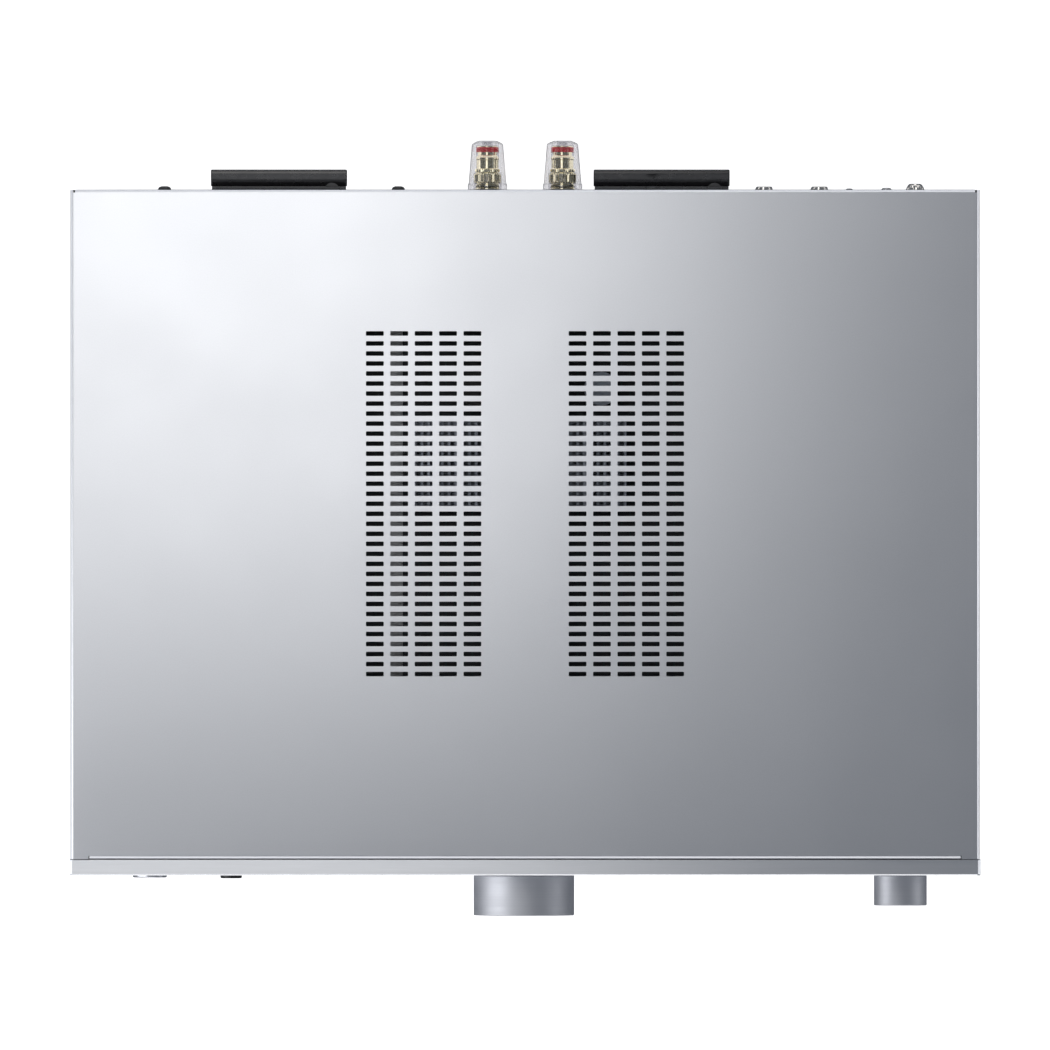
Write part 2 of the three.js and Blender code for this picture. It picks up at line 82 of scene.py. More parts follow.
def sides(node, grow=0.0):
    """A node's left, right, bottom and top, each moved outwards."""
    a, b = low(node), high(node)
    return a.x - grow, b.x + grow, a.z - grow, b.z + grow


SHEET = 1.2  # thickness of every folded sheet
SEAM = 0.1  # gap between neighbouring sheets
FIT = 0.3  # gap round a part in its cut-out
BAY_DEPTH = 6.2  # from the rear panel's face to the bottom of the jack bay
MOUNT_HALF = 7.8  # from an antenna's pivot to the end of its mount

SIDES = ("left", "right")
FRONT = low("front_panel").y
REAR = high("top_cover").y
COVER_TOP = high("top_cover").z
COVER_HALF = high("top_cover").x
AXIS_Z = middle("volume_knob").z
REAR_FACE = low("jack_bay").y + BAY_DEPTH
POST_X = middle("post_right_plus_nut").x
ANTENNA_PIVOT = {
    side: Vector((high(f"antenna_mount_{side}").x - MOUNT_HALF, REAR, middle(f"antenna_mount_{side}").z))
    for side in SIDES
}


# ---- shape helpers


def rounded(points, segments=5):
    """A closed 2-D outline of (a, b) or (a, b, radius) corners, with an arc at each that has a radius."""
    out = []
    count = len(points)
    for i, point in enumerate(points):
        here = Vector(point[:2])
        if len(point) < 3 or point[2] <= 0:
            out.append(tuple(here))
            continue
        before = (Vector(points[i - 1][:2]) - here).normalized()
        after = (Vector(points[(i + 1) % count][:2]) - here).normalized()
        angle = before.angle(after)
        if angle > 3.1:  # a straight stretch, which has no corner to round
            out.append(tuple(here))
            continue
        radius = point[2]
        centre = here + (before + after).normalized() * radius / sin(angle / 2)
        start = here + before * radius / tan(angle / 2) - centre
        sweep = start.angle_signed(here + after * radius / tan(angle / 2) - centre)
        for k in range(segments + 1):
            turn = -sweep * k / segments
            c, s = cos(turn), sin(turn)
            out.append((centre.x + start.x * c - start.y * s, centre.y + start.x * s + start.y * c))
    return out


def rectangle(x0, x1, z0, z1, radius=0.0):
    return rounded([(x0, z0, radius), (x1, z0, radius), (x1, z1, radius), (x0, z1, radius)])


def opening(at, half_x, half_z, radius):
    """A rounded rectangle round the middle of a part."""
    return rectangle(at.x - half_x, at.x + half_x, at.z - half_z, at.z + half_z, radius)


def circle(x, z, radius, count=64):
    turns = [2 * pi * k / count for k in range(count)]
    return [(x + radius * cos(a), z + radius * sin(a)) for a in turns]


def lathe(profile, centre, count=72, axis="Y", ribs=0, segments=4):
    """A closed turned solid of count sides, from (radius, height, fillet, rib depth) corners.

    The fillet and the rib depth may be left out. A corner that has a rib depth is ribbed.
    """
    bm = bmesh.new()
    points = []
    for i, p in enumerate(profile):
        corner = [profile[i - 1][:2], p, profile[(i + 1) % len(profile)][:2]]
        filleted = len(p) > 2 and p[2] > 0 and p[0] > 0
        arc = rounded(corner, segments) if filleted else [None, p[:2], None]
        depth = p[3] if len(p) > 3 else 0
        points += [(*q, depth) for q in arc[1:-1]]

    def place(u, v, h):
        offset = Vector((u, h, v)) if axis == "Y" else Vector((u, v, h))
        return bm.verts.new(Vector(centre) + offset)

    rings = []
    for radius, height, depth in points:
        if radius == 0:
            rings.append([place(0, 0, height)])
            continue
        ring = []
        for k in range(count):
            a = 2 * pi * k / count
            r = radius - (depth * (0.5 - 0.5 * cos(ribs * a)) if depth else 0)
            ring.append(place(r * cos(a), r * sin(a), height))
        rings.append(ring)
    closed = len(rings[0]) > 1
    for a, b in zip(rings, rings[1:] + (rings[:1] if closed else [])):
        for k in range(count):
            n = (k + 1) % count
            quad = [a[k % len(a)], a[n % len(a)], b[n % len(b)], b[k % len(b)]]
            corners = list(dict.fromkeys(quad))
            if len(corners) > 2:
                bm.faces.new(corners)
    bmesh.ops.recalc_face_normals(bm, faces=bm.faces)
    return bm


def linked(name, data):
    """A new object in the scene."""
    obj = bpy.data.objects.new(name, data)
    scene.collection.objects.link(obj)
    return obj


def solid(name, bm):
    """A new mesh object made from bm, which is used up."""
    mesh = bpy.data.meshes.new(name)
    bm.to_mesh(mesh)
    bm.free()
    return linked(name, mesh)


def evaluated(obj):
    """The mesh of an object as its modifiers leave it."""
    mesh = bpy.data.meshes.new_from_object(obj.evaluated_get(bpy.context.evaluated_depsgraph_get()))
    bm = bmesh.new()
    bm.from_mesh(mesh)
    bpy.data.meshes.remove(mesh)
    return bm


def plate(outline, holes, y0, y1, bevel=0.2, segments=3):
    """A slab in the XZ plane with rounded edges round its outline and its holes."""
    curve = bpy.data.curves.new("outline", "CURVE")
    curve.dimensions = "2D"
    curve.fill_mode = "BOTH"
    curve.extrude = (y1 - y0) / 2 - bevel
    curve.bevel_depth = bevel
    curve.bevel_resolution = segments
    curve.offset = -bevel
    for points in [outline, *holes]:
        spline = curve.splines.new("POLY")
        spline.points.add(len(points) - 1)
        for p, (x, z) in zip(spline.points, points):
            p.co = (x, z, 0, 1)
        spline.use_cyclic_u = True
    obj = linked("outline", curve)
    bm = evaluated(obj)
    bpy.data.objects.remove(obj)
    bpy.data.curves.remove(curve)
    bmesh.ops.remove_doubles(bm, verts=bm.verts, dist=1e-3)
    turn = Matrix.Translation((0, (y0 + y1) / 2, 0)) @ Matrix.Rotation(pi / 2, 4, "X")
    bmesh.ops.transform(bm, matrix=turn, verts=bm.verts)
    bmesh.ops.recalc_face_normals(bm, faces=bm.faces)
    return bm


def prism(section, x0, x1, bevel=0.2):
    """A bar along X from a (y, z) section with rounded corners."""
    bm = plate(rounded(section, 6), [], -x1, -x0, bevel, 4)
    bmesh.ops.rotate(bm, cent=(0, 0, 0), matrix=Matrix.Rotation(pi / 2, 3, "Z"), verts=bm.verts)
    return bm


def block(x0, x1, y0, y1, z0, z1, bevel=0.3, segments=3):
    bm = bmesh.new()
    bmesh.ops.create_cube(bm, size=1)
    size = Matrix.Diagonal((x1 - x0, y1 - y0, z1 - z0, 1))
    place = Matrix.Translation(((x0 + x1) / 2, (y0 + y1) / 2, (z0 + z1) / 2))
    bmesh.ops.transform(bm, matrix=place @ size, verts=bm.verts)
    if bevel:
        bmesh.ops.bevel(
            bm, geom=list(bm.edges), offset=bevel, segments=segments, profile=0.5, affect="EDGES",
            clamp_overlap=True,
        )
    return bm


def merged(*bms):
    mesh = bpy.data.meshes.new("merged")
    out = bmesh.new()
    for bm in bms:
        bm.to_mesh(mesh)
        out.from_mesh(mesh)
        bm.free()
    bpy.data.meshes.remove(mesh)
    return out


def carved(bm, *tools):
    """bm with each tool cut away from it."""
    body = solid("body", bm)
    cutters = [solid("tool", t) for t in tools]
    for cutter in cutters:
        step = body.modifiers.new("cut", "BOOLEAN")
        step.operation = "DIFFERENCE"
        step.solver = "EXACT"
        step.object = cutter
    out = evaluated(body)
    for o in [body, *cutters]:
        bpy.data.objects.remove(o)
    return out


def even_normals(obj, sharp):
    """Smooths the shading, apart from edges past an angle in degrees, and keeps flat faces flat."""
    obj.data.shade_smooth()
    obj.data.set_sharp_from_angle(angle=radians(sharp))
    obj.modifiers.new("even_normals", "WEIGHTED_NORMAL").keep_sharp = True


def piece(name, bm, body, material, replaces=(), sharp=35):
    """Makes bm, in millimetres, a finished object that rides on a CAD body."""
    bmesh.ops.scale(bm, vec=(MM, MM, MM), verts=bm.verts)
    obj = solid(name, bm)
    obj.data.materials.append(material)
    even_normals(obj, sharp)
    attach(obj, body)
    if replaces:
        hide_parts(*replaces)
    return obj


def fixed(name, bm, material, replaces=()):
    """A piece that stays with the chassis."""
    return piece(name, bm, "chassis", material, replaces)


# ---- materials


class Look:
    """A node material with a Principled shader and helpers for its texture chains."""

    def __init__(self, name, colour, roughness, metallic=0.0, **sockets):
        self.material = bpy.data.materials.new(name)
        self.material.use_nodes = True
        self.tree = self.material.node_tree
        self.shader = self.tree.nodes["Principled BSDF"]
        sockets |= {"Base_Color": (*colour, 1), "Roughness": roughness, "Metallic": metallic}
        for key, value in sockets.items():
            self.shader.inputs[key.replace("_", " ")].default_value = value
        self.colour, self.roughness = colour, roughness
        self.coordinates = self.node("ShaderNodeTexCoord").outputs["Object"]
        self.last_bump = None

    def node(self, kind, **settings):
        node = self.tree.nodes.new(kind)
        for key, value in settings.items():
            setattr(node, key, value)
        return node

    def link(self, a, b):
        self.tree.links.new(a, b)

    def noise(self, scale, detail=3.0, vector=None, rough=0.55):
        """A noise whose scale is one number or one per axis, in cells per metre."""
        mapping = self.node("ShaderNodeMapping")
        mapping.inputs["Scale"].default_value = scale if hasattr(scale, "__len__") else (scale,) * 3
        self.link(vector or self.coordinates, mapping.inputs["Vector"])
        noise = self.node("ShaderNodeTexNoise")
        noise.inputs["Scale"].default_value = 1
        noise.inputs["Detail"].default_value = detail
        noise.inputs["Roughness"].default_value = rough
        self.link(mapping.outputs["Vector"], noise.inputs["Vector"])
        return noise.outputs["Fac"]

    def vector(self, operation, a, b=None):
        """A vector operation on two inputs, each a socket or a plain vector."""
        node = self.node("ShaderNodeVectorMath", operation=operation)
        for value, socket in zip((a, b), node.inputs):
            if isinstance(value, bpy.types.NodeSocket):
                self.link(value, socket)
            elif value is not None:
                socket.default_value = value
        return node.outputs["Value" if operation == "LENGTH" else "Vector"]

    def from_axis(self, centre):
        return self.vector("SUBTRACT", self.coordinates, Vector(centre) * MM)

    def turned(self, centre):
        """(radius, along, 0) coordinates about an axis along Y, for turned grain."""
        split = self.node("ShaderNodeSeparateXYZ")
        self.link(self.from_axis(centre), split.inputs[0])
        flat = self.node("ShaderNodeCombineXYZ")
        self.link(split.outputs["X"], flat.inputs["X"])
        self.link(split.outputs["Z"], flat.inputs["Y"])
        out = self.node("ShaderNodeCombineXYZ")
        self.link(self.vector("LENGTH", flat.outputs[0]), out.inputs["X"])
        self.link(split.outputs["Y"], out.inputs["Y"])
        return out.outputs[0]

    def across_grain(self, centre=None):
        """Stretches highlights across the grain, which runs along X, or round a Y axis through centre."""
        grain = (1, 0, 0)
        if centre is not None:
            grain = self.vector("CROSS_PRODUCT", (0, 1, 0), self.from_axis(centre))
        normal = self.node("ShaderNodeNewGeometry").outputs["Normal"]
        self.link(self.vector("CROSS_PRODUCT", normal, grain), self.shader.inputs["Tangent"])

    def spread(self, fac, low_value, high_value, span=(0.3, 0.7)):
        """Maps a span of fac to a range of values. A noise mostly lies between 0.3 and 0.7."""
        out = self.node("ShaderNodeMapRange")
        ends = ("From Min", "From Max", "To Min", "To Max")
        for end, value in zip(ends, (*span, low_value, high_value)):
            out.inputs[end].default_value = value
        self.link(fac, out.inputs["Value"])
        return out.outputs["Result"]

    def vary_roughness(self, fac, amount):
        varied = self.spread(fac, self.roughness - amount, self.roughness + amount)
        self.link(varied, self.shader.inputs["Roughness"])
        return self

    def vary_colour(self, fac, amount, other=None):
        """Mixes the colour towards a lighter and a darker version of itself, or towards another colour."""
        mix = self.node("ShaderNodeMix", data_type="RGBA")
        mix.inputs["A"].default_value = (*[c * (1 - amount) for c in self.colour], 1)
        mix.inputs["B"].default_value = (*(other or [min(1, c * (1 + amount)) for c in self.colour]), 1)
        self.link(self.spread(fac, 0, 1), mix.inputs["Factor"])
        self.link(mix.outputs["Result"], self.shader.inputs["Base Color"])
        return self

    def bump(self, fac, depth, strength):
        """Adds relief of the given depth in millimetres."""
        bump = self.node("ShaderNodeBump")
        bump.inputs["Strength"].default_value = strength
        bump.inputs["Distance"].default_value = depth * MM
        self.link(fac, bump.inputs["Height"])
        if self.last_bump:
            self.link(self.last_bump.outputs["Normal"], bump.inputs["Normal"])
        self.link(bump.outputs["Normal"], self.shader.inputs["Normal"])
        self.last_bump = bump
        return self

    def worn_edges(self, colour, amount=0.35):
        """Lightens the sharp edges of a varied colour, broken up by noise."""
        pointed = self.node("ShaderNodeNewGeometry").outputs["Pointiness"]
        broken = self.node("ShaderNodeMath", operation="MULTIPLY")
        self.link(self.spread(pointed, 0, amount, (0.52, 0.60)), broken.inputs[0])
        self.link(self.spread(self.noise(900, 4), 0.3, 1), broken.inputs[1])
        mix = self.node("ShaderNodeMix", data_type="RGBA")
        mix.inputs["B"].default_value = (*colour, 1)
        self.link(self.shader.inputs["Base Color"].links[0].from_socket, mix.inputs["A"])
        self.link(broken.outputs[0], mix.inputs["Factor"])
        self.link(mix.outputs["Result"], self.shader.inputs["Base Color"])
        return self


def brushed_along_x(name, colour, roughness):
    look = Look(name, colour, roughness, 1.0, Anisotropic=0.92)
    look.across_grain()
    grain = look.noise((60, 5200, 5200), 4, rough=0.7)
    look.vary_roughness(look.noise((25, 1400, 1400)), 0.04).vary_colour(grain, 0.03)
    return look.bump(grain, 0.006, 0.35).bump(look.noise(120, 2), 0.004, 0.3).material


def turned_metal(name, centre, colour=(0.68, 0.69, 0.73), roughness=0.56):
    look = Look(name, colour, roughness, 1.0, Anisotropic=0.2)
    look.across_grain(centre)
    rings = look.turned(centre)
    grain = look.noise((5200, 5200, 1), 4, rings, 0.7)
    look.vary_roughness(look.noise((900, 900, 1), 3, rings), 0.04).vary_colour(grain, 0.03)
    return look.bump(grain, 0.006, 0.4).material


def satin_metal():
    """The cover's fine, even silver finish, with a faint hairline across it."""
    look = Look("satin_silver", (0.78, 0.793, 0.832), 0.30, 1.0)
    hairline = look.noise((110, 2600, 2600), 4, rough=0.7)
    speckle = look.noise(1500, 3, rough=0.7)
    look.vary_roughness(look.noise(14, 3), 0.012)
    look.vary_colour(speckle, 0.018)
    return look.bump(hairline, 0.004, 0.35).bump(speckle, 0.004, 0.3).material


def plastic(name, colour=(0.018, 0.018, 0.020), roughness=0.42, **sockets):
    look = Look(name, colour, roughness, **sockets)
    look.vary_roughness(look.noise(180, 4), 0.07).vary_colour(look.noise(240, 3), 0.16)
    look.bump(look.noise(5200, 3, rough=0.6), 0.012, 0.5)
    return look.worn_edges([min(1, c * 3 + 0.02) for c in colour]).material


def plated(name, colour, roughness=0.14):
    look = Look(name, colour, roughness, 1.0)
    look.vary_roughness(look.noise(380, 4), 0.05).vary_colour(look.noise(150, 2), 0.05)
    return look.bump(look.noise(1800, 3), 0.003, 0.4).material


def sheet_steel(name, colour=(0.50, 0.51, 0.53), roughness=0.4):
    look = Look(name, colour, roughness, 1.0)
    look.vary_roughness(look.noise(60, 4), 0.08).vary_colour(look.noise(45, 5), 0.08)
    return look.bump(look.noise((900, 90, 900), 4), 0.01, 0.4).material


def rubber():
    look = Look("rubber", (0.022, 0.022, 0.023), 0.8)
    look.vary_roughness(look.noise(90, 4), 0.08).vary_colour(look.noise(70, 3), 0.25, (0.04, 0.04, 0.04))
    return look.bump(look.noise(2600, 3), 0.03, 0.7).material


def clear_plastic():
    """Tinted, partly with the plastic's own grey-lilac and partly as painted shade for the darkening that
    refraction gives the ribbed walls, but without refraction, which would show the lower posts through the
    upper ones.
    """
    look = Look(
        "clear_plastic", (0.785, 0.78, 0.795), 0.05, Transmission_Weight=1.0, IOR=1.0,
        Coat_Weight=1.0, Coat_Roughness=0.06,
    )
    look.vary_roughness(look.noise(500, 3), 0.03)
    return look.bump(look.noise(300, 2), 0.01, 0.3).material


def smoked_window():
    look = Look("smoked_window", (0.008, 0.008, 0.010), 0.06, Coat_Weight=0.6, Coat_Roughness=0.03)
    look.vary_roughness(look.noise(40, 4), 0.025)
    return look.bump(look.noise(25, 1), 0.004, 0.3).material


def circuit_board():
    # Dark navy: partly the board's own colour and partly painted shade for the dim inside that shows through
    # the slots.
    look = Look("circuit_board", (0.016, 0.022, 0.034), 0.45, Coat_Weight=0.2, Coat_Roughness=0.3)
    tracks = look.node("ShaderNodeTexBrick")
    tracks.inputs["Scale"].default_value = 60
    tracks.inputs["Mortar Size"].default_value = 0.03
    look.link(look.coordinates, tracks.inputs["Vector"])
    look.vary_colour(tracks.outputs["Fac"], 0.1, (0.014, 0.035, 0.045))
    return look.bump(tracks.outputs["Fac"], 0.03, 0.6).material


def winding_with_painted_shade():
    # The copper colour is darkened well below its own, as painted shade for the dim inside that shows through
    # the slots.
    look = Look("winding_with_painted_shade", (0.15, 0.08, 0.05), 0.45, 0.6)
    turns = look.noise((60, 60, 2600), 2)
    return look.vary_colour(turns, 0.3).bump(turns, 0.1, 0.7).material


ANODISED = brushed_along_x("anodised_panel", (0.895, 0.91, 0.95), 0.37)
CUT_EDGE = plated("cut_edge", (0.78, 0.79, 0.81), 0.2)
SATIN = satin_metal()
STEEL = sheet_steel("zinc_steel")
SHIELD = sheet_steel("tinned_shield", (0.60, 0.60, 0.60), 0.28)
DARK_EXTRUSION = sheet_steel("heatsink_extrusion", (0.34, 0.37, 0.43), 0.42)
BLACK = plastic("black_plastic")
JACK_BLACK = plastic("jack_black", (0.012, 0.012, 0.013), 0.3)
BLACK_OXIDE = plastic("black_oxide", (0.03, 0.03, 0.032), 0.35)
ANTENNA_BLACK = plastic("antenna_black", (0.010, 0.009, 0.011), 0.3, Coat_Weight=0.9, Coat_Roughness=0.22)
HINGE_GREY = plastic("hinge_grey", (0.05, 0.05, 0.055), 0.4)
RUBBER = rubber()
GOLD = plated("gold_plate", (1.0, 0.90, 0.65), 0.12)
NICKEL = plated("nickel_plate", (0.85, 0.82, 0.78), 0.11)
BRIGHT = plated("bright_steel", (0.66, 0.66, 0.67), 0.22)
RED = plastic("red_marker", (1.0, 0.045, 0.055), 0.3)
WHITE = plastic("white_insulator", (0.75, 0.74, 0.70), 0.4)
CLEAR_WITH_PAINTED_SHADE = clear_plastic()
WINDOW = smoked_window()
BOARD_WITH_PAINTED_SHADE = circuit_board()
WINDING_WITH_PAINTED_SHADE = winding_with_painted_shade()


# ---- the folded top cover

BEND = 1.4  # outer radius of the folds
BEND_ANGLES = (0, 9, 75, 90)  # the bend is pressed nearly flat between the second and the third
LIP_HALF = 206.0
LIP_RELIEF = 0.5  # cut at each end of the front lip
LIP_SETBACK = 0.2  # from the front of the side skirts to the front lip
SKIRT_SETBACK = 0.1  # from the rear lip's face to the back of the side skirts
FRONT_LIP = 10.0
REAR_LIP = 14.0
CORNER_RELIEF = 0.8
EDGE_SOFTENING = 0.22
VENT_COLUMNS = [24.8 + 11.51 * i for i in range(5)]  # from the middle, to either side
VENT_FIRST = 67.9  # from the cover's rear edge to the first row
VENT_ROWS = 35
VENT_PITCH = 4.726
SLOT = (8.37, 2.15)  # along x and y
SLOT_CORNER = 0.45


def cover_sheet():
    """The outer skin of the folded sheet: a flat blank on a grid, without its slots, folded along its bends.

    s runs across the blank and t along it. Both are measured over the bends.
    """
    front, back = low("top_cover").y, REAR
    floor = low("top_cover").z
    bend_start = COVER_HALF - BEND
    relief_start = bend_start - CORNER_RELIEF
    skirt_back = back - SKIRT_SETBACK
    arc = BEND * pi / 2
    t_front, t_rear = front + LIP_SETBACK + BEND, back - BEND
    arcs = [BEND * radians(a) for a in BEND_ANGLES]

    def fold(distance, reach):
        """How far a point at a distance past the bend's start has moved outwards and down."""
        if distance <= 0:
            return distance, 0.0
        if distance >= reach:
            return BEND, BEND + distance - reach
        k = max(i for i, start in enumerate(arcs) if distance >= start - 1e-6)
        (a, b), part = arcs[k : k + 2], (distance - arcs[k]) / (arcs[k + 1] - arcs[k])
        ends = [(BEND * sin(c / BEND), BEND * (1 - cos(c / BEND))) for c in (a, b)]
        return tuple(p + (q - p) * part for p, q in zip(*ends))

    def slot_lines(middles, size):
        """The grid lines at the ends of each slot, and where its corners start."""
        reach = (size / 2, size / 2 - SLOT_CORNER)
        return {m + side * r for m in middles for side in (-1, 1) for r in reach}

    side_drop = COVER_TOP - floor - BEND
    s_values = {0.0, LIP_HALF - LIP_RELIEF, LIP_HALF, relief_start}
    s_values |= {bend_start + a for a in arcs} | {bend_start + arc + side_drop}
    s_values |= slot_lines(VENT_COLUMNS, SLOT[0])
    s_lines = sorted({round(v, 4) for s in s_values for v in (s, -s)})
    t_values = {front, t_front, t_rear, skirt_back}
    t_values |= {t_rear + a for a in arcs} | {t_rear + arc + REAR_LIP - BEND}
    t_values |= {t_front - a for a in arcs} | {t_front - arc - FRONT_LIP + BEND}
    rows = [REAR - VENT_FIRST - VENT_PITCH * i for i in range(VENT_ROWS)]
    t_values |= slot_lines(rows, SLOT[1])
    t_lines = sorted({round(v, 4) for v in t_values})

    bm = bmesh.new()
    made = {}

    def vertex(s, t):
        key = (round(s, 4), round(t, 4))
        if key not in made:
            x, drop = fold(abs(s) - bend_start, arc)
            x = (bend_start + x) * (1 if s >= 0 else -1)
            y = t
            if abs(s) < bend_start and t > t_rear:
                y, drop = fold(t - t_rear, arc)
                y += t_rear
            elif abs(s) < LIP_HALF and t < t_front:
                y, drop = fold(t_front - t, arc)
                y = t_front - y
            made[key] = bm.verts.new((x, y, COVER_TOP - drop))
        return made[key]

    def slot_at(s, t):
        for x in VENT_COLUMNS:
            if abs(abs(s) - x) < SLOT[0] / 2:
                for y in rows:
                    if abs(t - y) < SLOT[1] / 2:
                        return (x if s > 0 else -x), y
        return None

    for s0, s1 in zip(s_lines, s_lines[1:]):
        for t0, t1 in zip(t_lines, t_lines[1:]):
            s, t = (s0 + s1) / 2, (t0 + t1) / 2
            rear_relief = relief_start < abs(s) < bend_start and t > t_rear
            past_skirt = abs(s) > bend_start and (t > skirt_back or t < front)
            past_lip = abs(s) > LIP_HALF and t < front
            front_relief = LIP_HALF - LIP_RELIEF < abs(s) < LIP_HALF and t < t_front
            if rear_relief or past_skirt or past_lip or front_relief:
                continue
            slot = slot_at(s, t)
            if not slot:
                bm.faces.new([vertex(s0, t0), vertex(s1, t0), vertex(s1, t1), vertex(s0, t1)])
                continue
            over_s = abs(s - slot[0]) > SLOT[0] / 2 - SLOT_CORNER
            over_t = abs(t - slot[1]) > SLOT[1] / 2 - SLOT_CORNER
            if over_s and over_t:
                s_out, s_in = (s0, s1) if s < slot[0] else (s1, s0)
                t_out, t_in = (t0, t1) if t < slot[1] else (t1, t0)
                arc_points = [
                    vertex(s_in + (s_out - s_in) * sin(a), t_in + (t_out - t_in) * cos(a))
                    for a in (pi / 8, pi / 4, 3 * pi / 8)
                ]
                bm.faces.new([vertex(s_out, t_out), vertex(s_in, t_out), *arc_points, vertex(s_out, t_in)])
    bmesh.ops.recalc_face_normals(bm, faces=bm.faces)
    top = max(bm.faces, key=lambda f: f.calc_area())
    if top.normal.z < 0:
        bmesh.ops.reverse_faces(bm, faces=bm.faces)
    return bm


def top_cover():
    """The folded sheet, thickened inwards, with its cut edges softened."""
    sharp = 50
    cover = piece("folded_cover", cover_sheet(), "chassis", SATIN, ["top_cover"], sharp)
    cover.modifiers.clear()
    thick = cover.modifiers.new("sheet", "SOLIDIFY")
    thick.thickness = SHEET * MM
    thick.offset = -1
    thick.use_even_offset = True
    soften = cover.modifiers.new("edges", "BEVEL")
    soften.width = EDGE_SOFTENING * MM
    soften.segments = 2
    soften.limit_method = "ANGLE"
    soften.angle_limit = radians(sharp)
    made = evaluated(cover)
    for v in made.verts:  # the bevel lifts a few points past the top
        v.co.z = min(v.co.z, COVER_TOP * MM)
    cover.modifiers.clear()
    made.to_mesh(cover.data)
    made.free()
    even_normals(cover, sharp)


# ---- fasteners

REAR_PANEL_SCREWS = [(-205, 22), (-120, 22), (-45, 22), (90, 22), (170, 20), (206, 40)]  # (x, z)
BASE_SCREWS = [(x, y) for y in (-60, 132) for x in (-198, -75, -48, 195)]
SMALL_SCREW = (153.3, 77)  # (x, z) of the bright screw beside the ground terminal
FOOT_SCREW_SEAT = 5.2  # height of the face in a foot that its screw's head rests on


def cross_screw(name, at, head, height, material, slot, replaces=()):
    """A pan-head screw with a cross recess. at is the middle of the face that its head rests on."""
    shank, under = head * 0.42, 2.0
    bm = lathe(
        [(0, -under), (shank, -under, 0.1), (shank, 0), (head, 0, 0.1), (head, height * 0.3, 0.25),
         (head * 0.84, height * 0.7, 0.6), (head * 0.5, height * 0.96, 0.6), (0, height)],
        (0, 0, 0), 56,
    )
    reach, wide, deep = head * 0.56, head * 0.15, height * 0.62
    slots = []
    for a in (pi / 4, -pi / 4):
        blade = block(-reach, reach, height - deep, height + 1, -wide, wide, 0.08, 1)
        for v in blade.verts:
            if v.co.y < height:
                v.co.x *= 0.5
        bmesh.ops.rotate(blade, cent=(0, 0, 0), matrix=Matrix.Rotation(a, 3, "Y"), verts=blade.verts)
        slots.append(blade)
    bm = carved(bm, *slots)
    bmesh.ops.transform(bm, matrix=Matrix.Translation(at), verts=bm.verts)
    return fixed(name, bm, material, replaces)


def bottom_screw(name, at, head, height):
    """A screw that is driven upwards, with its head below the face at this height."""
    screw = cross_screw(name, (0, 0, 0), head, height, BLACK_OXIDE, "black_screw")
    screw.data.transform(Matrix.Translation(Vector(at) * MM) @ Matrix.Rotation(-pi / 2, 4, "X"))


def all_screws():
    for i in range(1, 5):
        node = f"cover_screw_{i}"
        at = middle(node)
        head = (high(node).x - low(node).x) / 2
        tall = high(node).y - REAR
        small = head < 2.8  # the small ones are bright, the others black
        finish = (BRIGHT, "nickel") if small else (BLACK_OXIDE, "black_screw")
        cross_screw(f"rear_cover_screw_{i}", (at.x, REAR, at.z), head, tall, *finish, replaces=[node])
    x, z = SMALL_SCREW
    cross_screw("rear_small_screw", (x, REAR_FACE, z), 2.25, 2.4, BRIGHT, "nickel")
    for i, (x, z) in enumerate(REAR_PANEL_SCREWS):
        cross_screw(f"rear_panel_screw_{i + 1}", (x, REAR_FACE, z), 2.6, 1.3, BLACK_OXIDE, "black_screw")
    under = low("base_pan").z
    for i, (x, y) in enumerate(BASE_SCREWS):
        bottom_screw(f"base_screw_{i + 1}", (x, y, under), 3.0, 1.4)
    for end in ("front", "rear"):
        for side in SIDES:
            at = middle(f"foot_{end}_{side}")
            bottom_screw(f"foot_screw_{end}_{side}", (at.x, at.y, FOOT_SCREW_SEAT), 4.0, 2.4)


# ---- case

CHAMFER = 0.6  # along the front panel's edges
BACK_CHAMFER = 0.12
FACE_SPREAD = 0.1  # how far the panel's face reaches into the chamfer
CORNER_CUT = (1.3, 1.1)  # the cut across each corner of the panel, along x and z
CONTROL_HOLES = {"volume_knob": 6, "selector_knob": 6, "power_button": 8.5, "headphone_jack": 5.45}  # radii


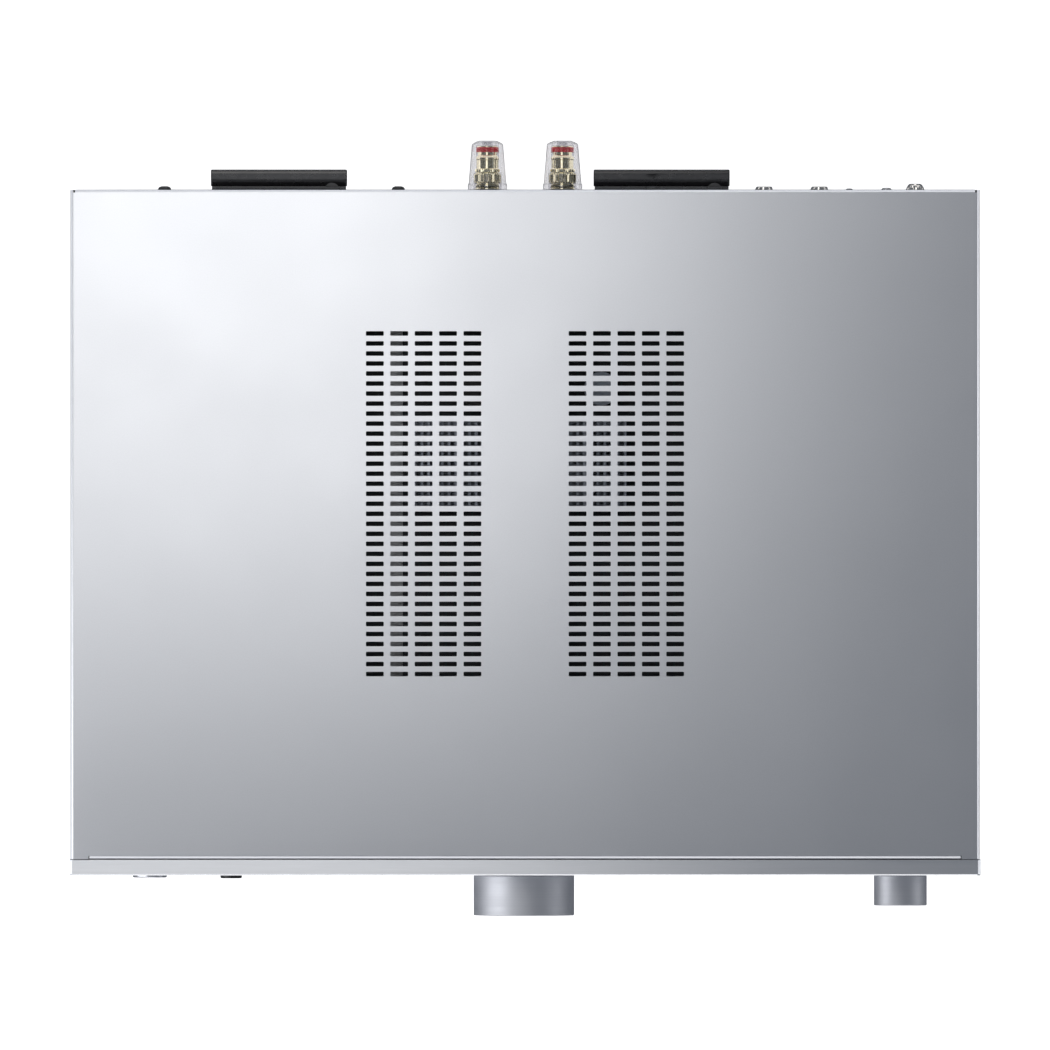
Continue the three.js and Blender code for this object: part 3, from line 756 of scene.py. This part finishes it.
def front_panel():
    a, b = low("front_panel"), high("front_panel")
    holes = [rectangle(*sides("display_lens", FIT), 2.0)]
    holes += [circle(middle(node).x, AXIS_Z, radius) for node, radius in CONTROL_HOLES.items()]
    wide, tall = CORNER_CUT
    outline = [
        (a.x + wide, a.z), (b.x - wide, a.z), (b.x, a.z + tall), (b.x, b.z - tall),
        (b.x - wide, b.z), (a.x + wide, b.z), (a.x, b.z - tall), (a.x, a.z + tall),
    ]
    panel = plate(rounded([(*corner, 0.1) for corner in outline], 2), holes, a.y, b.y, CHAMFER, 0)
    centre = (a + b) / 2
    for v in panel.verts:  # narrows the chamfers of the outer edges, but leaves those of the holes
        inset = Vector((
            b.x - centre.x - abs(v.co.x - centre.x), 0, b.z - centre.z - abs(v.co.z - centre.z),
        ))
        if min(inset.x, inset.z) > wide + CHAMFER:
            continue
        outward = Vector((0, 0, 0))
        outward.x = (1 if v.co.x > centre.x else -1) if inset.x < tall else 0
        outward.z = (1 if v.co.z > centre.z else -1) if inset.z < tall else 0
        if abs(v.co.y - a.y) < 1e-3:
            v.co += outward * FACE_SPREAD
        elif abs(v.co.y - b.y) < 1e-3:
            v.co += outward * (CHAMFER - BACK_CHAMFER)
        elif v.co.y > centre.y:
            v.co.y = b.y - BACK_CHAMFER
        v.co.x = min(max(v.co.x, a.x), b.x)
    fixed("front_fascia", panel, ANODISED, ["front_panel"])
    skin, depth = 0.015, CHAMFER - FACE_SPREAD
    for name, edge, down in (("top", b.z, -1), ("bottom", a.z, 1)):
        cut = prism(
            [(a.y + CHAMFER, edge - skin * down), (a.y, edge + down * (depth - skin)),
             (a.y + 0.3, edge + down * depth)],
            a.x + wide + 0.2, b.x - wide - 0.2, 0.0,
        )
        fixed(f"fascia_cut_edge_{name}", cut, CUT_EDGE)


def rear_panel():
    holes = [
        rectangle(*sides("terminal_plate", FIT), 0.5),
        rectangle(*sides("jack_bay", -1.5), 0.5),
        opening(middle("ac_inlet"), 14, 10.3, 0.5),
    ]
    holes += [rectangle(*sides(node, FIT), 0.2) for node in ("optical_jack", "network_jack", "usb_jack")]
    holes += [circle(p.x, p.z, 4.4) for p in ANTENNA_PIVOT.values()]
    rear = plate(rectangle(*sides("rear_panel"), 0.4), holes, REAR_FACE - SHEET, REAR_FACE, 0.15, 2)
    fixed("rear_plate", rear, SATIN, ["rear_panel"])
    ground = middle("ground_nut")
    r = 1.8
    profile = [(0, -3), (r, -3), *thread(r, REAR_FACE - REAR, 2.2), (0, 2.4)]
    fixed("ground_stud", lathe(profile, (ground.x, REAR, ground.z), 32), NICKEL)


def rear_corners():
    """The rubber buffers that show in the cover's cut corners, and the flanges beside the rear panel."""
    wall = COVER_HALF - SHEET - SEAM
    size, buffer_low, flange_high = 1.4, 88, 87.5
    for side, word in zip((-1, 1), SIDES):
        x0, x1 = sorted((side * wall, side * (wall - size)))
        buffer = block(x0, x1, REAR - size, REAR - 0.2, buffer_low, COVER_TOP - 1.0, 0.2, 2)
        fixed(f"corner_buffer_{word}", buffer, RUBBER)
        x0, x1 = sorted((side * wall, side * (high("rear_panel").x + SEAM)))
        z0 = high("base_pan").z + FIT
        flange = block(x0, x1, REAR_FACE - SHEET, REAR_FACE, z0, flange_high, 0.2, 2)
        fixed(f"rear_flange_{word}", flange, SATIN)


def base_pan():
    a, b = low("base_pan"), high("base_pan")
    inner_x, inner_z = b.x - SHEET, a.z + SHEET
    section = rounded([
        (a.x, a.z, 1.6), (b.x, a.z, 1.6), (b.x, b.z), (inner_x, b.z),
        (inner_x, inner_z, 0.4), (a.x + SHEET, inner_z, 0.4), (a.x + SHEET, b.z), (a.x, b.z),
    ])
    fixed("base_tray", plate(section, [], a.y, b.y, 0.15, 2), STEEL, ["base_pan"])


def thread(radius, start, end, pitch=0.5, depth=0.14):
    """Profile points of a fine thread, drawn as plain rings, from start to end."""
    turns = int((end - start) / pitch)
    points = []
    for k in range(turns):
        points += [(radius, start + k * pitch), (radius - depth, start + (k + 0.5) * pitch)]
    return points


def feet():
    for end in ("front", "rear"):
        for side in SIDES:
            node = f"foot_{end}_{side}"
            at, top = middle(node), high(node).z
            r = (high(node).x - low(node).x) / 2
            shell = lathe(
                [(0, FOOT_SCREW_SEAT), (7, FOOT_SCREW_SEAT, 0.5), (8, 2.2, 0.6), (r - 3.6, 1.0, 0.2),
                 (r - 3.0, 0.9, 0.2), (r - 0.8, 2.6, 0.9), (r, 4.0, 1.2), (r, top - 1.6, 0.5),
                 (r - 0.6, top - 1.2, 0.3), (r - 0.6, top, 0.2), (0, top)],
                (at.x, at.y, 0), 96, "Z",
            )
            fixed(f"{node}_shell", shell, BLACK, [node])
            pad = lathe(
                [(9.5, 2.4), (9.5, 0.3, 0.3), (10.2, 0, 0.2), (r - 4.2, 0, 0.3), (r - 3.8, 0.5, 0.3),
                 (r - 3.8, 2.4)],
                (at.x, at.y, 0), 96, "Z",
            )
            fixed(f"{node}_pad", pad, RUBBER)


# ---- front controls


def knob(name, recess, count):
    """A knob that is hollow at the back round a hub, with a pointer mark cut into its face."""
    node = f"{name}_knob"
    at, face, back = middle(node), low(node).y, high(node).y
    r = (high(node).x - low(node).x) / 2
    inner, hub, bore = r - 2.5, 5.8, 3.3
    depth, hub_end = face + recess, FRONT - 5
    profile = [
        (0, face), (r - 0.3, face, 0.1), (r, face + 0.3, 0.1), (r, back - 0.3, 0.15), (r - 0.35, back, 0.1),
        (inner, back, 0.2), (inner, depth, 0.8), (hub, depth, 0.5), (hub, hub_end, 0.2),
        (bore, hub_end, 0.2), (bore, face + 3), (0, face + 3),
    ]
    bm = lathe(profile, (at.x, 0, at.z), count, segments=5)
    mark = block(at.x - 0.5, at.x + 0.5, face - 1, face + 0.5, at.z + r * 0.62, at.z + r * 0.86, 0.2, 2)
    look = turned_metal(f"turned_{name}", at)
    piece(f"{name}_dial", carved(bm, mark), f"{name}_control", look, [node], sharp=30)


def power_button():
    at, a, b = middle("power_button"), low("power_button"), high("power_button")
    r, skirt = (b.x - a.x) / 2, FRONT + 5.2
    button = lathe(
        [(0, a.y + 0.25), (r * 0.5, a.y + 0.15), (r - 0.9, a.y, 0.2), (r - 0.4, a.y, 0.15),
         (r, a.y + 0.4, 0.15), (r, skirt, 0.2), (2.5, skirt, 0.4), (2.5, b.y, 0.3), (0, b.y)],
        (at.x, 0, at.z), 96,
    )
    look = turned_metal("turned_power", at, roughness=0.26)
    piece("power_cap", button, "power_button", look, ["power_button"])


def headphone_jack():
    at, face = middle("headphone_jack"), low("headphone_jack").y
    bore, shoulder, bottom, back = 3.3, face + 9, face + 25, face + 28
    collar = lathe(
        [(5.1, shoulder), (5.1, face, 0.6), (4.0, face, 0.25), (3.5, face + 0.6, 0.2), (bore, shoulder)],
        (at.x, 0, at.z), 72,
    )
    body = lathe([(0, bottom), (bore, bottom), (bore, shoulder), (7, shoulder), (7, back), (0, back)],
                 (at.x, 0, at.z), 48)
    fixed("phones_socket", merged(collar, body), JACK_BLACK, ["headphone_jack"])
    for i, depth in enumerate((5.5, 12.5)):
        y = face + depth
        spring = lathe([(3.25, y), (2.95, y + 0.8, 0.3), (3.25, y + 1.6)], (at.x, 0, at.z), 48)
        fixed(f"phones_contact_{i + 1}", spring, GOLD)


def controls():
    knob("volume", recess=10, count=160)
    knob("selector", recess=8, count=112)
    for name in ("volume", "selector"):
        node = f"{name}_shaft"
        a, b, at, r = low(node), high(node), middle(node), 3
        shaft = lathe([(0, a.y), (r, a.y, 0.4), (r, b.y, 0.4), (0, b.y)], (at.x, 0, at.z), 40)
        piece(f"{name}_spindle", shaft, f"{name}_control", BRIGHT, [node])
    power_button()
    headphone_jack()
    a, b = low("display_lens"), high("display_lens")
    lens = plate(rectangle(*sides("display_lens"), 1.7), [], a.y, b.y, 0.25, 3)
    fixed("display_window", lens, WINDOW, ["display_lens"])


# ---- loudspeaker terminals


def posts():
    a, b = low("terminal_plate"), high("terminal_plate")
    signs = ("plus", "minus")
    centres = [(x, middle(f"post_right_{sign}_nut").z) for x in (-POST_X, POST_X) for sign in signs]
    holes = [circle(x, z, 2.7, 40) for x, z in centres]
    slab = plate(rectangle(*sides("terminal_plate"), 1.5), holes, a.y, b.y, 0.4, 3)
    root, crest = b.y - 0.6, b.y + 0.25
    rim = [(9.6, root), (9.6, crest, 0.15), (10.4, crest, 0.15), (10.4, root)]
    rims = [lathe(rim, (x, 0, z), 72) for x, z in centres]
    fixed("terminal_block", merged(slab, *rims), BLACK, ["terminal_plate"])
    for side, x in zip(SIDES, (-POST_X, POST_X)):
        for sign in signs:
            one_post(f"post_{side}_{sign}", x)


def one_post(post, x):
    """A gold binding post in a clear ribbed cap. Heights are from the cover's rear edge."""
    z = middle(f"{post}_nut").z
    at = (x, REAR, z)
    cap = f"{post}_cap"
    r = 2.2  # the stud's radius
    rings = thread(r, -13.5, 15.5, 1.0, 0.18)
    stud = lathe([(0, -14), (r, -14, 0.2), *rings, (2.0, 16, 0.2), (0, 16)], at, 32)
    nut = lathe([(r, -11.5), (4.4, -11.5, 0.2), (4.4, -7.8, 0.2), (r, -7.8)], at, 6)
    fixed(f"{post}_rod", merged(stud, nut), GOLD, [f"{post}_stud"])
    washer = lathe([(2.6, 0.3), (5.8, 0.3, 0.15), (5.8, 1.0, 0.15), (2.6, 1.0)], at, 48)
    piece(f"{post}_ring", washer, f"{post}_washer", GOLD, [f"{post}_washer"])
    core = lathe(
        [(2.6, 1.3), (5.5, 1.3, 0.3), (5.65, 2.6, 0.1), (5.1, 2.9, 0.1), (5.1, 3.3, 0.1), (6.2, 3.6, 0.2),
         (6.4, 4.1, 0.1, 0.5), (6.4, 7.4, 0.1, 0.5), (6.0, 7.9, 0.1), (5.3, 8.1, 0.1), (5.85, 8.5, 0.1, 0.35),
         (5.85, 9.9, 0.1, 0.35), (5.2, 10.3, 0.15), (5.2, 14.3, 0.15), (5.55, 14.6, 0.1), (5.55, 15.4, 0.1),
         (4.5, 16.6, 0.15), (4.5, 17.8), (4.8, 17.8), (4.8, 20.3, 0.1), (4.9, 20.9, 0.2), (2.6, 20.9, 0.2)],
        at, 144, ribs=24, segments=3,
    )
    piece(f"{post}_core", core, cap, GOLD, [f"{post}_nut"])
    band = [(4.7, 18.0), (5.3, 18.0, 0.1, 0.25), (5.3, 20.3, 0.1, 0.25), (4.7, 20.3)]
    marker = lathe(band, at, 120, ribs=30, segments=3)
    piece(f"{post}_marker", marker, cap, RED if "plus" in post else JACK_BLACK)
    shell = lathe(
        [(6.9, 0.5), (9.3, 0.5, 0.2), (9.35, 2.7, 0.2), (8.95, 3.3, 0.2, 0.2), (7.45, 21.9, 0.3, 0.3),
         (5.6, 22.9, 0.8, 0.3), (4.2, 23.5, 0.3), (2.7, 23.5, 0.2), (2.7, 21.4, 0.1), (5.6, 21.4, 0.4),
         (5.6, 8.8, 0.3), (6.9, 8.2, 0.3)],
        at, 216, ribs=36,
    )
    piece(f"{post}_sleeve", shell, cap, CLEAR_WITH_PAINTED_SHADE, [f"{post}_shell"])


# ---- other rear connectors


def jack_bay():
    columns = [middle(f"phono_pair_{k}").x for k in "ab"]
    rows = [low("phono_pair_a").z + 8, high("phono_pair_a").z - 8]
    bottom = REAR_FACE - BAY_DEPTH
    inside = rectangle(*sides("jack_bay", -3.0), 1.2)
    rim = plate(rectangle(*sides("jack_bay"), 1.6), [inside], REAR_FACE + FIT, REAR_FACE + 1.1, 0.25, 3)
    walls = plate(rectangle(*sides("jack_bay", -1.8), 1.0), [inside], bottom, REAR_FACE + 0.6, 0.1, 1)
    holes = [circle(x, z, 4.55) for x in columns for z in rows]
    floor = plate(rectangle(*sides("jack_bay", -2.4), 1.0), holes, bottom, REAR_FACE - 5.0, 0.15, 2)
    fixed("phono_surround", merged(rim, walls, floor), BLACK, ["jack_bay"])
    for key, x in zip("ab", columns):
        shells = []
        for row, z in enumerate(rows):
            shells.append(lathe(
                [(3.1, -9), (4.05, -9), (4.05, -6.2, 0.1), (4.05, 0.9, 0.4), (3.75, 1.75, 0.5),
                 (3.3, 2.1, 0.2), (3.1, 1.6, 0.2)],
                (x, REAR, z), 72,
            ))
            insert = lathe(
                [(1.7, -8), (3.1, -8), (3.1, 1.2, 0.2), (2.6, 1.5, 0.2), (2.1, 1.5, 0.2), (1.7, 1.1, 0.2)],
                (x, REAR, z), 56,
            )
            fixed(f"phono_insert_{key}{row + 1}", insert, RED if row == 0 else WHITE)
            contact = lathe([(1.3, -8), (1.66, -8), (1.66, 0.7, 0.15), (1.3, 0.7, 0.1)], (x, REAR, z), 40)
            fixed(f"phono_contact_{key}{row + 1}", contact, GOLD)
        node = f"phono_pair_{key}"
        back = block(x - 5.5, x + 5.5, low(node).y, REAR_FACE - 6.5, low(node).z, high(node).z, 0.4)
        fixed(f"phono_shells_{key}", merged(*shells, back), NICKEL, [node])


def mains_inlet():
    face, at = high("ac_inlet").y, middle("ac_inlet")
    wide, narrow, tall, shoulder = 12.1, 7.6, 7.8, 3.2
    cavity = rounded([
        (at.x - wide, at.z - shoulder, 0.8), (at.x - narrow, at.z - tall, 0.8),
        (at.x + narrow, at.z - tall, 0.8), (at.x + wide, at.z - shoulder, 0.8),
        (at.x + wide, at.z + tall, 1.0), (at.x - wide, at.z + tall, 1.0),
    ])
    flange = plate(rectangle(*sides("ac_inlet"), 2.0), [cavity], REAR_FACE + FIT, face, 0.35, 3)
    shell = plate(opening(at, 13.7, 10, 1.0), [cavity], face - 17, REAR_FACE + 0.6, 0.1, 1)
    back = block(at.x - 13.6, at.x + 13.6, face - 20, face - 16.9, at.z - 9.9, at.z + 9.9, 0.3)
    fixed("inlet_body", merged(flange, shell, back), BLACK, ["ac_inlet"])
    for i, (dx, dz) in enumerate([(-7, -2), (0, 2), (7, -2)]):
        x, z = at.x + dx, at.z + dz
        blade = block(x - 1, x + 1, face - 17, face - 2, z - 2, z + 2, 0.45, 3)
        fixed(f"inlet_blade_{i + 1}", blade, NICKEL)


def network_socket():
    a, b = low("network_jack"), high("network_jack")
    x, z = 57.99, a.z  # the middle of the mouth, just off the can's middle
    half, notch, step, crown = 5.9, 3.2, z + 8.6, z + 10.2
    mouth = rounded([
        (x - half, z + 2, 0.3), (x + half, z + 2, 0.3), (x + half, step, 0.3), (x + notch, step, 0.2),
        (x + notch, crown, 0.3), (x - notch, crown, 0.3), (x - notch, step, 0.2), (x - half, step, 0.3),
    ], 3)
    can = plate(rectangle(*sides("network_jack"), 0.5), [mouth], a.y + 6, b.y, 0.2, 2)
    back = block(a.x + 0.2, b.x - 0.2, a.y, a.y + 6.2, z + 0.2, b.z - 0.2, 0.3)
    fixed("network_can", merged(can, back), SHIELD, ["network_jack"])
    liner = block(a.x + 1.4, b.x - 1.4, b.y - 13.2, b.y - 12.4, z + 1.4, z + 11, 0.2)
    fixed("network_liner", liner, JACK_BLACK)
    pitch, thin = 1.02, 0.18
    places = [x + pitch * (k - 3.5) for k in range(8)]
    pins = [block(p - thin, p + thin, b.y - 12.6, b.y - 4, z + 2.4, z + 2.75, 0.08, 1) for p in places]
    fixed("network_pins", merged(*pins), GOLD)


def usb_socket():
    a, b, at = low("usb_jack"), high("usb_jack"), middle("usb_jack")
    mouth = rectangle(at.x - 6.4, at.x + 6.4, a.z + 0.8, a.z + 6.2, 0.3)
    can = plate(rectangle(*sides("usb_jack"), 0.6), [mouth], a.y + 4.5, b.y, 0.15, 2)
    back = block(a.x + 0.2, b.x - 0.2, a.y, a.y + 4.8, a.z + 0.2, b.z - 0.2, 0.3)
    fixed("usb_can", merged(can, back), SHIELD, ["usb_jack"])
    tongue = block(at.x - 5.6, at.x + 5.6, b.y - 13, b.y - 1.4, a.z + 3.9, a.z + 5.4, 0.2)
    fixed("usb_tongue", tongue, JACK_BLACK)
    places = [at.x + 2.3 * k for k in (-1.5, -0.5, 0.5, 1.5)]
    pads = [block(p - 0.5, p + 0.5, b.y - 11, b.y - 2.4, a.z + 3.75, a.z + 3.95, 0.05, 1) for p in places]
    fixed("usb_contacts", merged(*pads), GOLD)


def optical_socket():
    a, b, at = low("optical_jack"), high("optical_jack"), middle("optical_jack")
    mouth = rectangle(at.x - 3, at.x + 3, a.z + 2, a.z + 8, 0.9)
    body = plate(rectangle(*sides("optical_jack"), 0.5), [mouth], b.y - 3, b.y, 0.25, 2)
    rest = block(a.x + 0.1, b.x - 0.1, a.y, b.y - 2.9, a.z + 0.1, b.z - 0.1, 0.3)
    fixed("optical_body", merged(body, rest), BLACK, ["optical_jack"])
    shutter = block(at.x - 2.8, at.x + 2.8, b.y - 3.1, b.y - 1.6, a.z + 2.2, a.z + 7.8, 0.4)
    fixed("optical_shutter", shutter, JACK_BLACK)


def ground_terminal():
    at = middle("ground_nut")
    nut = lathe(
        [(2.15, -1.05), (4.2, -1.05, 0.2), (4.35, -0.5, 0.15, 0.2), (4.35, 0.7, 0.3, 0.2),
         (4.1, 1.5, 0.4, 0.2), (3.5, 2.6, 0.6, 0.15), (2.8, 3.3, 0.5), (2.15, 3.45, 0.2)],
        (at.x, REAR, at.z), 112, ribs=14, segments=3,
    )
    piece("ground_thumb_nut", nut, "ground_nut", NICKEL, ["ground_nut"])


HINGE_RADIUS = 3.4
HINGE_HOLE = HINGE_RADIUS + 0.1
SWIVEL_RADIUS = 6.5
PIN = 2.6
REST = 1.7  # how far the plate behind an arm stands proud of the cover's rear edge


def antennas():
    """Two arms that swing up from the rear edge, each on a swivel that has a rest plate.

    An upright hinge disc shows at each pivot: its front half is fixed, and the arm carries its back half.
    """
    for side, at in ANTENNA_PIVOT.items():
        mount, arm = f"antenna_mount_{side}", f"antenna_{side}"
        a, b = low(arm), high(arm)
        root, rest, r = REAR - 1.2, REAR + REST, SWIVEL_RADIUS
        swivel = lathe(
            [(0, -7), (4, -7, 0.2), (4, -0.9), (r, -0.9, 0.3), (r, 1.1, 0.3), (r - 0.5, 1.6, 0.2),
             (PIN, 1.6, 0.3), (PIN, 6.6, 0.3), (0, 6.6)],
            at, 80,
        )
        strip = prism(
            [(root, at.z - 7, 0.3), (rest, at.z - 7, 0.3), (rest, at.z + 6.9, 0.3), (root, at.z + 4.4, 0.3)],
            low(mount).x, b.x - 0.5, 0.2,
        )
        parts = [carved(part, hinge_disc(at, HINGE_HOLE, at.z + 6.2, at.z + 9)) for part in (swivel, strip)]
        fixed(f"antenna_swivel_{side}", merged(*parts), ANTENNA_BLACK, [mount])
        bar = prism(
            [(a.y, a.z, 0.8), (b.y, a.z, 1.2), (b.y, b.z - 0.9, 0.9), (b.y - 1.7, b.z, 1.6),
             (a.y + 3, b.z - 1.3, 4), (a.y, b.z - 3.2, 0.8)],
            a.x, b.x, 0.5,
        )
        bore, deep = 2.95, REAR + 7.2
        hole = lathe([(0, a.y - 1), (bore, a.y - 1), (bore, deep), (0, deep)], (at.x, 0, at.z), 40)
        bar = carved(bar, hole, hinge_disc(at, HINGE_HOLE, b.z - 3.2, b.z + 3))
        piece(f"antenna_arm_{side}", bar, arm, ANTENNA_BLACK, [arm])
        half = carved(hinge_disc(at, HINGE_RADIUS, at.z + 4, at.z + 6.6), behind(rest - 0.05))
        fixed(f"antenna_hinge_{side}", half, HINGE_GREY)
        half = carved(hinge_disc(at, HINGE_RADIUS, b.z - 4, b.z - 2.2), behind(a.y + 0.05, -1))
        piece(f"antenna_hinge_cap_{side}", half, arm, HINGE_GREY)


def hinge_disc(at, radius, bottom, top):
    """An upright disc under the cover's rear edge, at an antenna's pivot."""
    return lathe([(0, bottom), (radius, bottom), (radius, top, 0.1), (0, top)], (at.x, REAR, 0), 64, "Z")


def behind(y, side=1):
    """A block to cut with: all that is near the antennas and behind y, or in front of it with side -1."""
    y0, y1 = sorted((y, y + side * 20))
    return block(-150, 150, y0, y1, 60, 95, 0)


# ---- inside


def inside():
    # The board and winding looks have colours darkened as painted shade for the dim inside.
    looks = {
        "front_bulkhead": STEEL, "volume_encoder": STEEL, "selector_encoder": STEEL,
        "control_board": BOARD_WITH_PAINTED_SHADE, "power_board": BOARD_WITH_PAINTED_SHADE, "main_board": BOARD_WITH_PAINTED_SHADE, "input_board": BOARD_WITH_PAINTED_SHADE,
        "display_module": JACK_BLACK, "transformer": WINDING_WITH_PAINTED_SHADE, "heatsink": DARK_EXTRUSION,
        "capacitor_left": BLACK, "capacitor_right": DARK_EXTRUSION,
    }
    for name, look in looks.items():
        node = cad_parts[name]
        node.data.materials.clear()
        node.data.materials.append(look)


# ---- floor, light and camera


def stage():
    bm = bmesh.new()
    bmesh.ops.create_grid(bm, x_segments=8, y_segments=8, size=6)
    floor = solid("floor", bm)
    look = Look("pale_floor", (0.86, 0.86, 0.86), 0.9, Emission_Color=(1, 1, 1, 1), Emission_Strength=0.95)
    look.vary_roughness(look.noise(40, 3), 0.03)
    floor.data.materials.append(look.material)
    floor.visible_glossy = False

    world = bpy.data.worlds.new("studio")  # a dim, slightly blue sky
    world.use_nodes = True
    background = world.node_tree.nodes["Background"]
    background.inputs["Color"].default_value = (0.86, 0.93, 1.04, 1)
    background.inputs["Strength"].default_value = 0.17
    scene.world = world


WARM = (1.0, 0.99, 0.965)


def soft_light(name, low_corner, high_corner, height, power, colour=(1, 1, 1)):
    """A large soft panel, level over the floor. power is for each square metre."""
    data = bpy.data.lights.new(name, "AREA")
    data.shape = "RECTANGLE"
    data.size, data.size_y = high_corner[0] - low_corner[0], high_corner[1] - low_corner[1]
    data.energy = power * data.size * data.size_y
    data.color = colour
    light = linked(name, data)
    light.location = ((low_corner[0] + high_corner[0]) / 2, (low_corner[1] + high_corner[1]) / 2, height)
    light.visible_camera = False
    return light


def side_card():
    """A dim tall card at the right, which faces the object."""
    card = soft_light("side_card", (0, 0), (0.37, 1.0), height=0, power=3.4)
    card.location = (1.99, 0, 0.60)
    card.rotation_euler = (-card.location).to_track_quat("-Z", "Y").to_euler()


def horizon():
    """Four long low strips all round, which the bends and the chamfers reflect."""
    reach = 2.3
    for name, x, y, tall, power in (
        ("left_horizon", -reach, 0, 0.5, 4.3), ("right_horizon", reach, 0, 0.5, 2.6),
        ("rear_horizon", 0, reach, 0.8, 3.6), ("front_horizon", 0, -reach, 0.8, 3.3),
    ):
        strip = soft_light(name, (0, 0), (2 * reach, tall), 0, power)
        strip.location = (x, y, tall / 2)
        strip.rotation_euler = Vector((-x, -y, 0)).to_track_quat("-Z", "Y").to_euler()


def camera():
    """Straight above the object, and so far away that it sees hardly any perspective."""
    distance, view_width, sensor, view_y = 12.0, 0.4953, 36, 0.0015
    data = bpy.data.cameras.new("camera")
    view = linked("camera", data)
    data.sensor_width = sensor
    data.lens = sensor * distance / view_width
    data.clip_end = 100
    view.location = (0, view_y, cad_high.z + distance)
    view.rotation_euler = (0, 0, 0)
    scene.camera = view


top_cover()
front_panel()
rear_panel()
rear_corners()
base_pan()
feet()
controls()
posts()
jack_bay()
mains_inlet()
network_socket()
usb_socket()
optical_socket()
ground_terminal()
antennas()
all_screws()
inside()
stage()
soft_light("rear_panel_light", (-0.40, -0.04), (0.045, 2.0), height=1.3, power=5.25, colour=WARM)
soft_light("left_panel_light", (-2.0, -1.33), (-0.32, -0.035), height=0.45, power=5.59)
side_card()
horizon()
camera()
scene.view_settings.view_transform = "Standard"
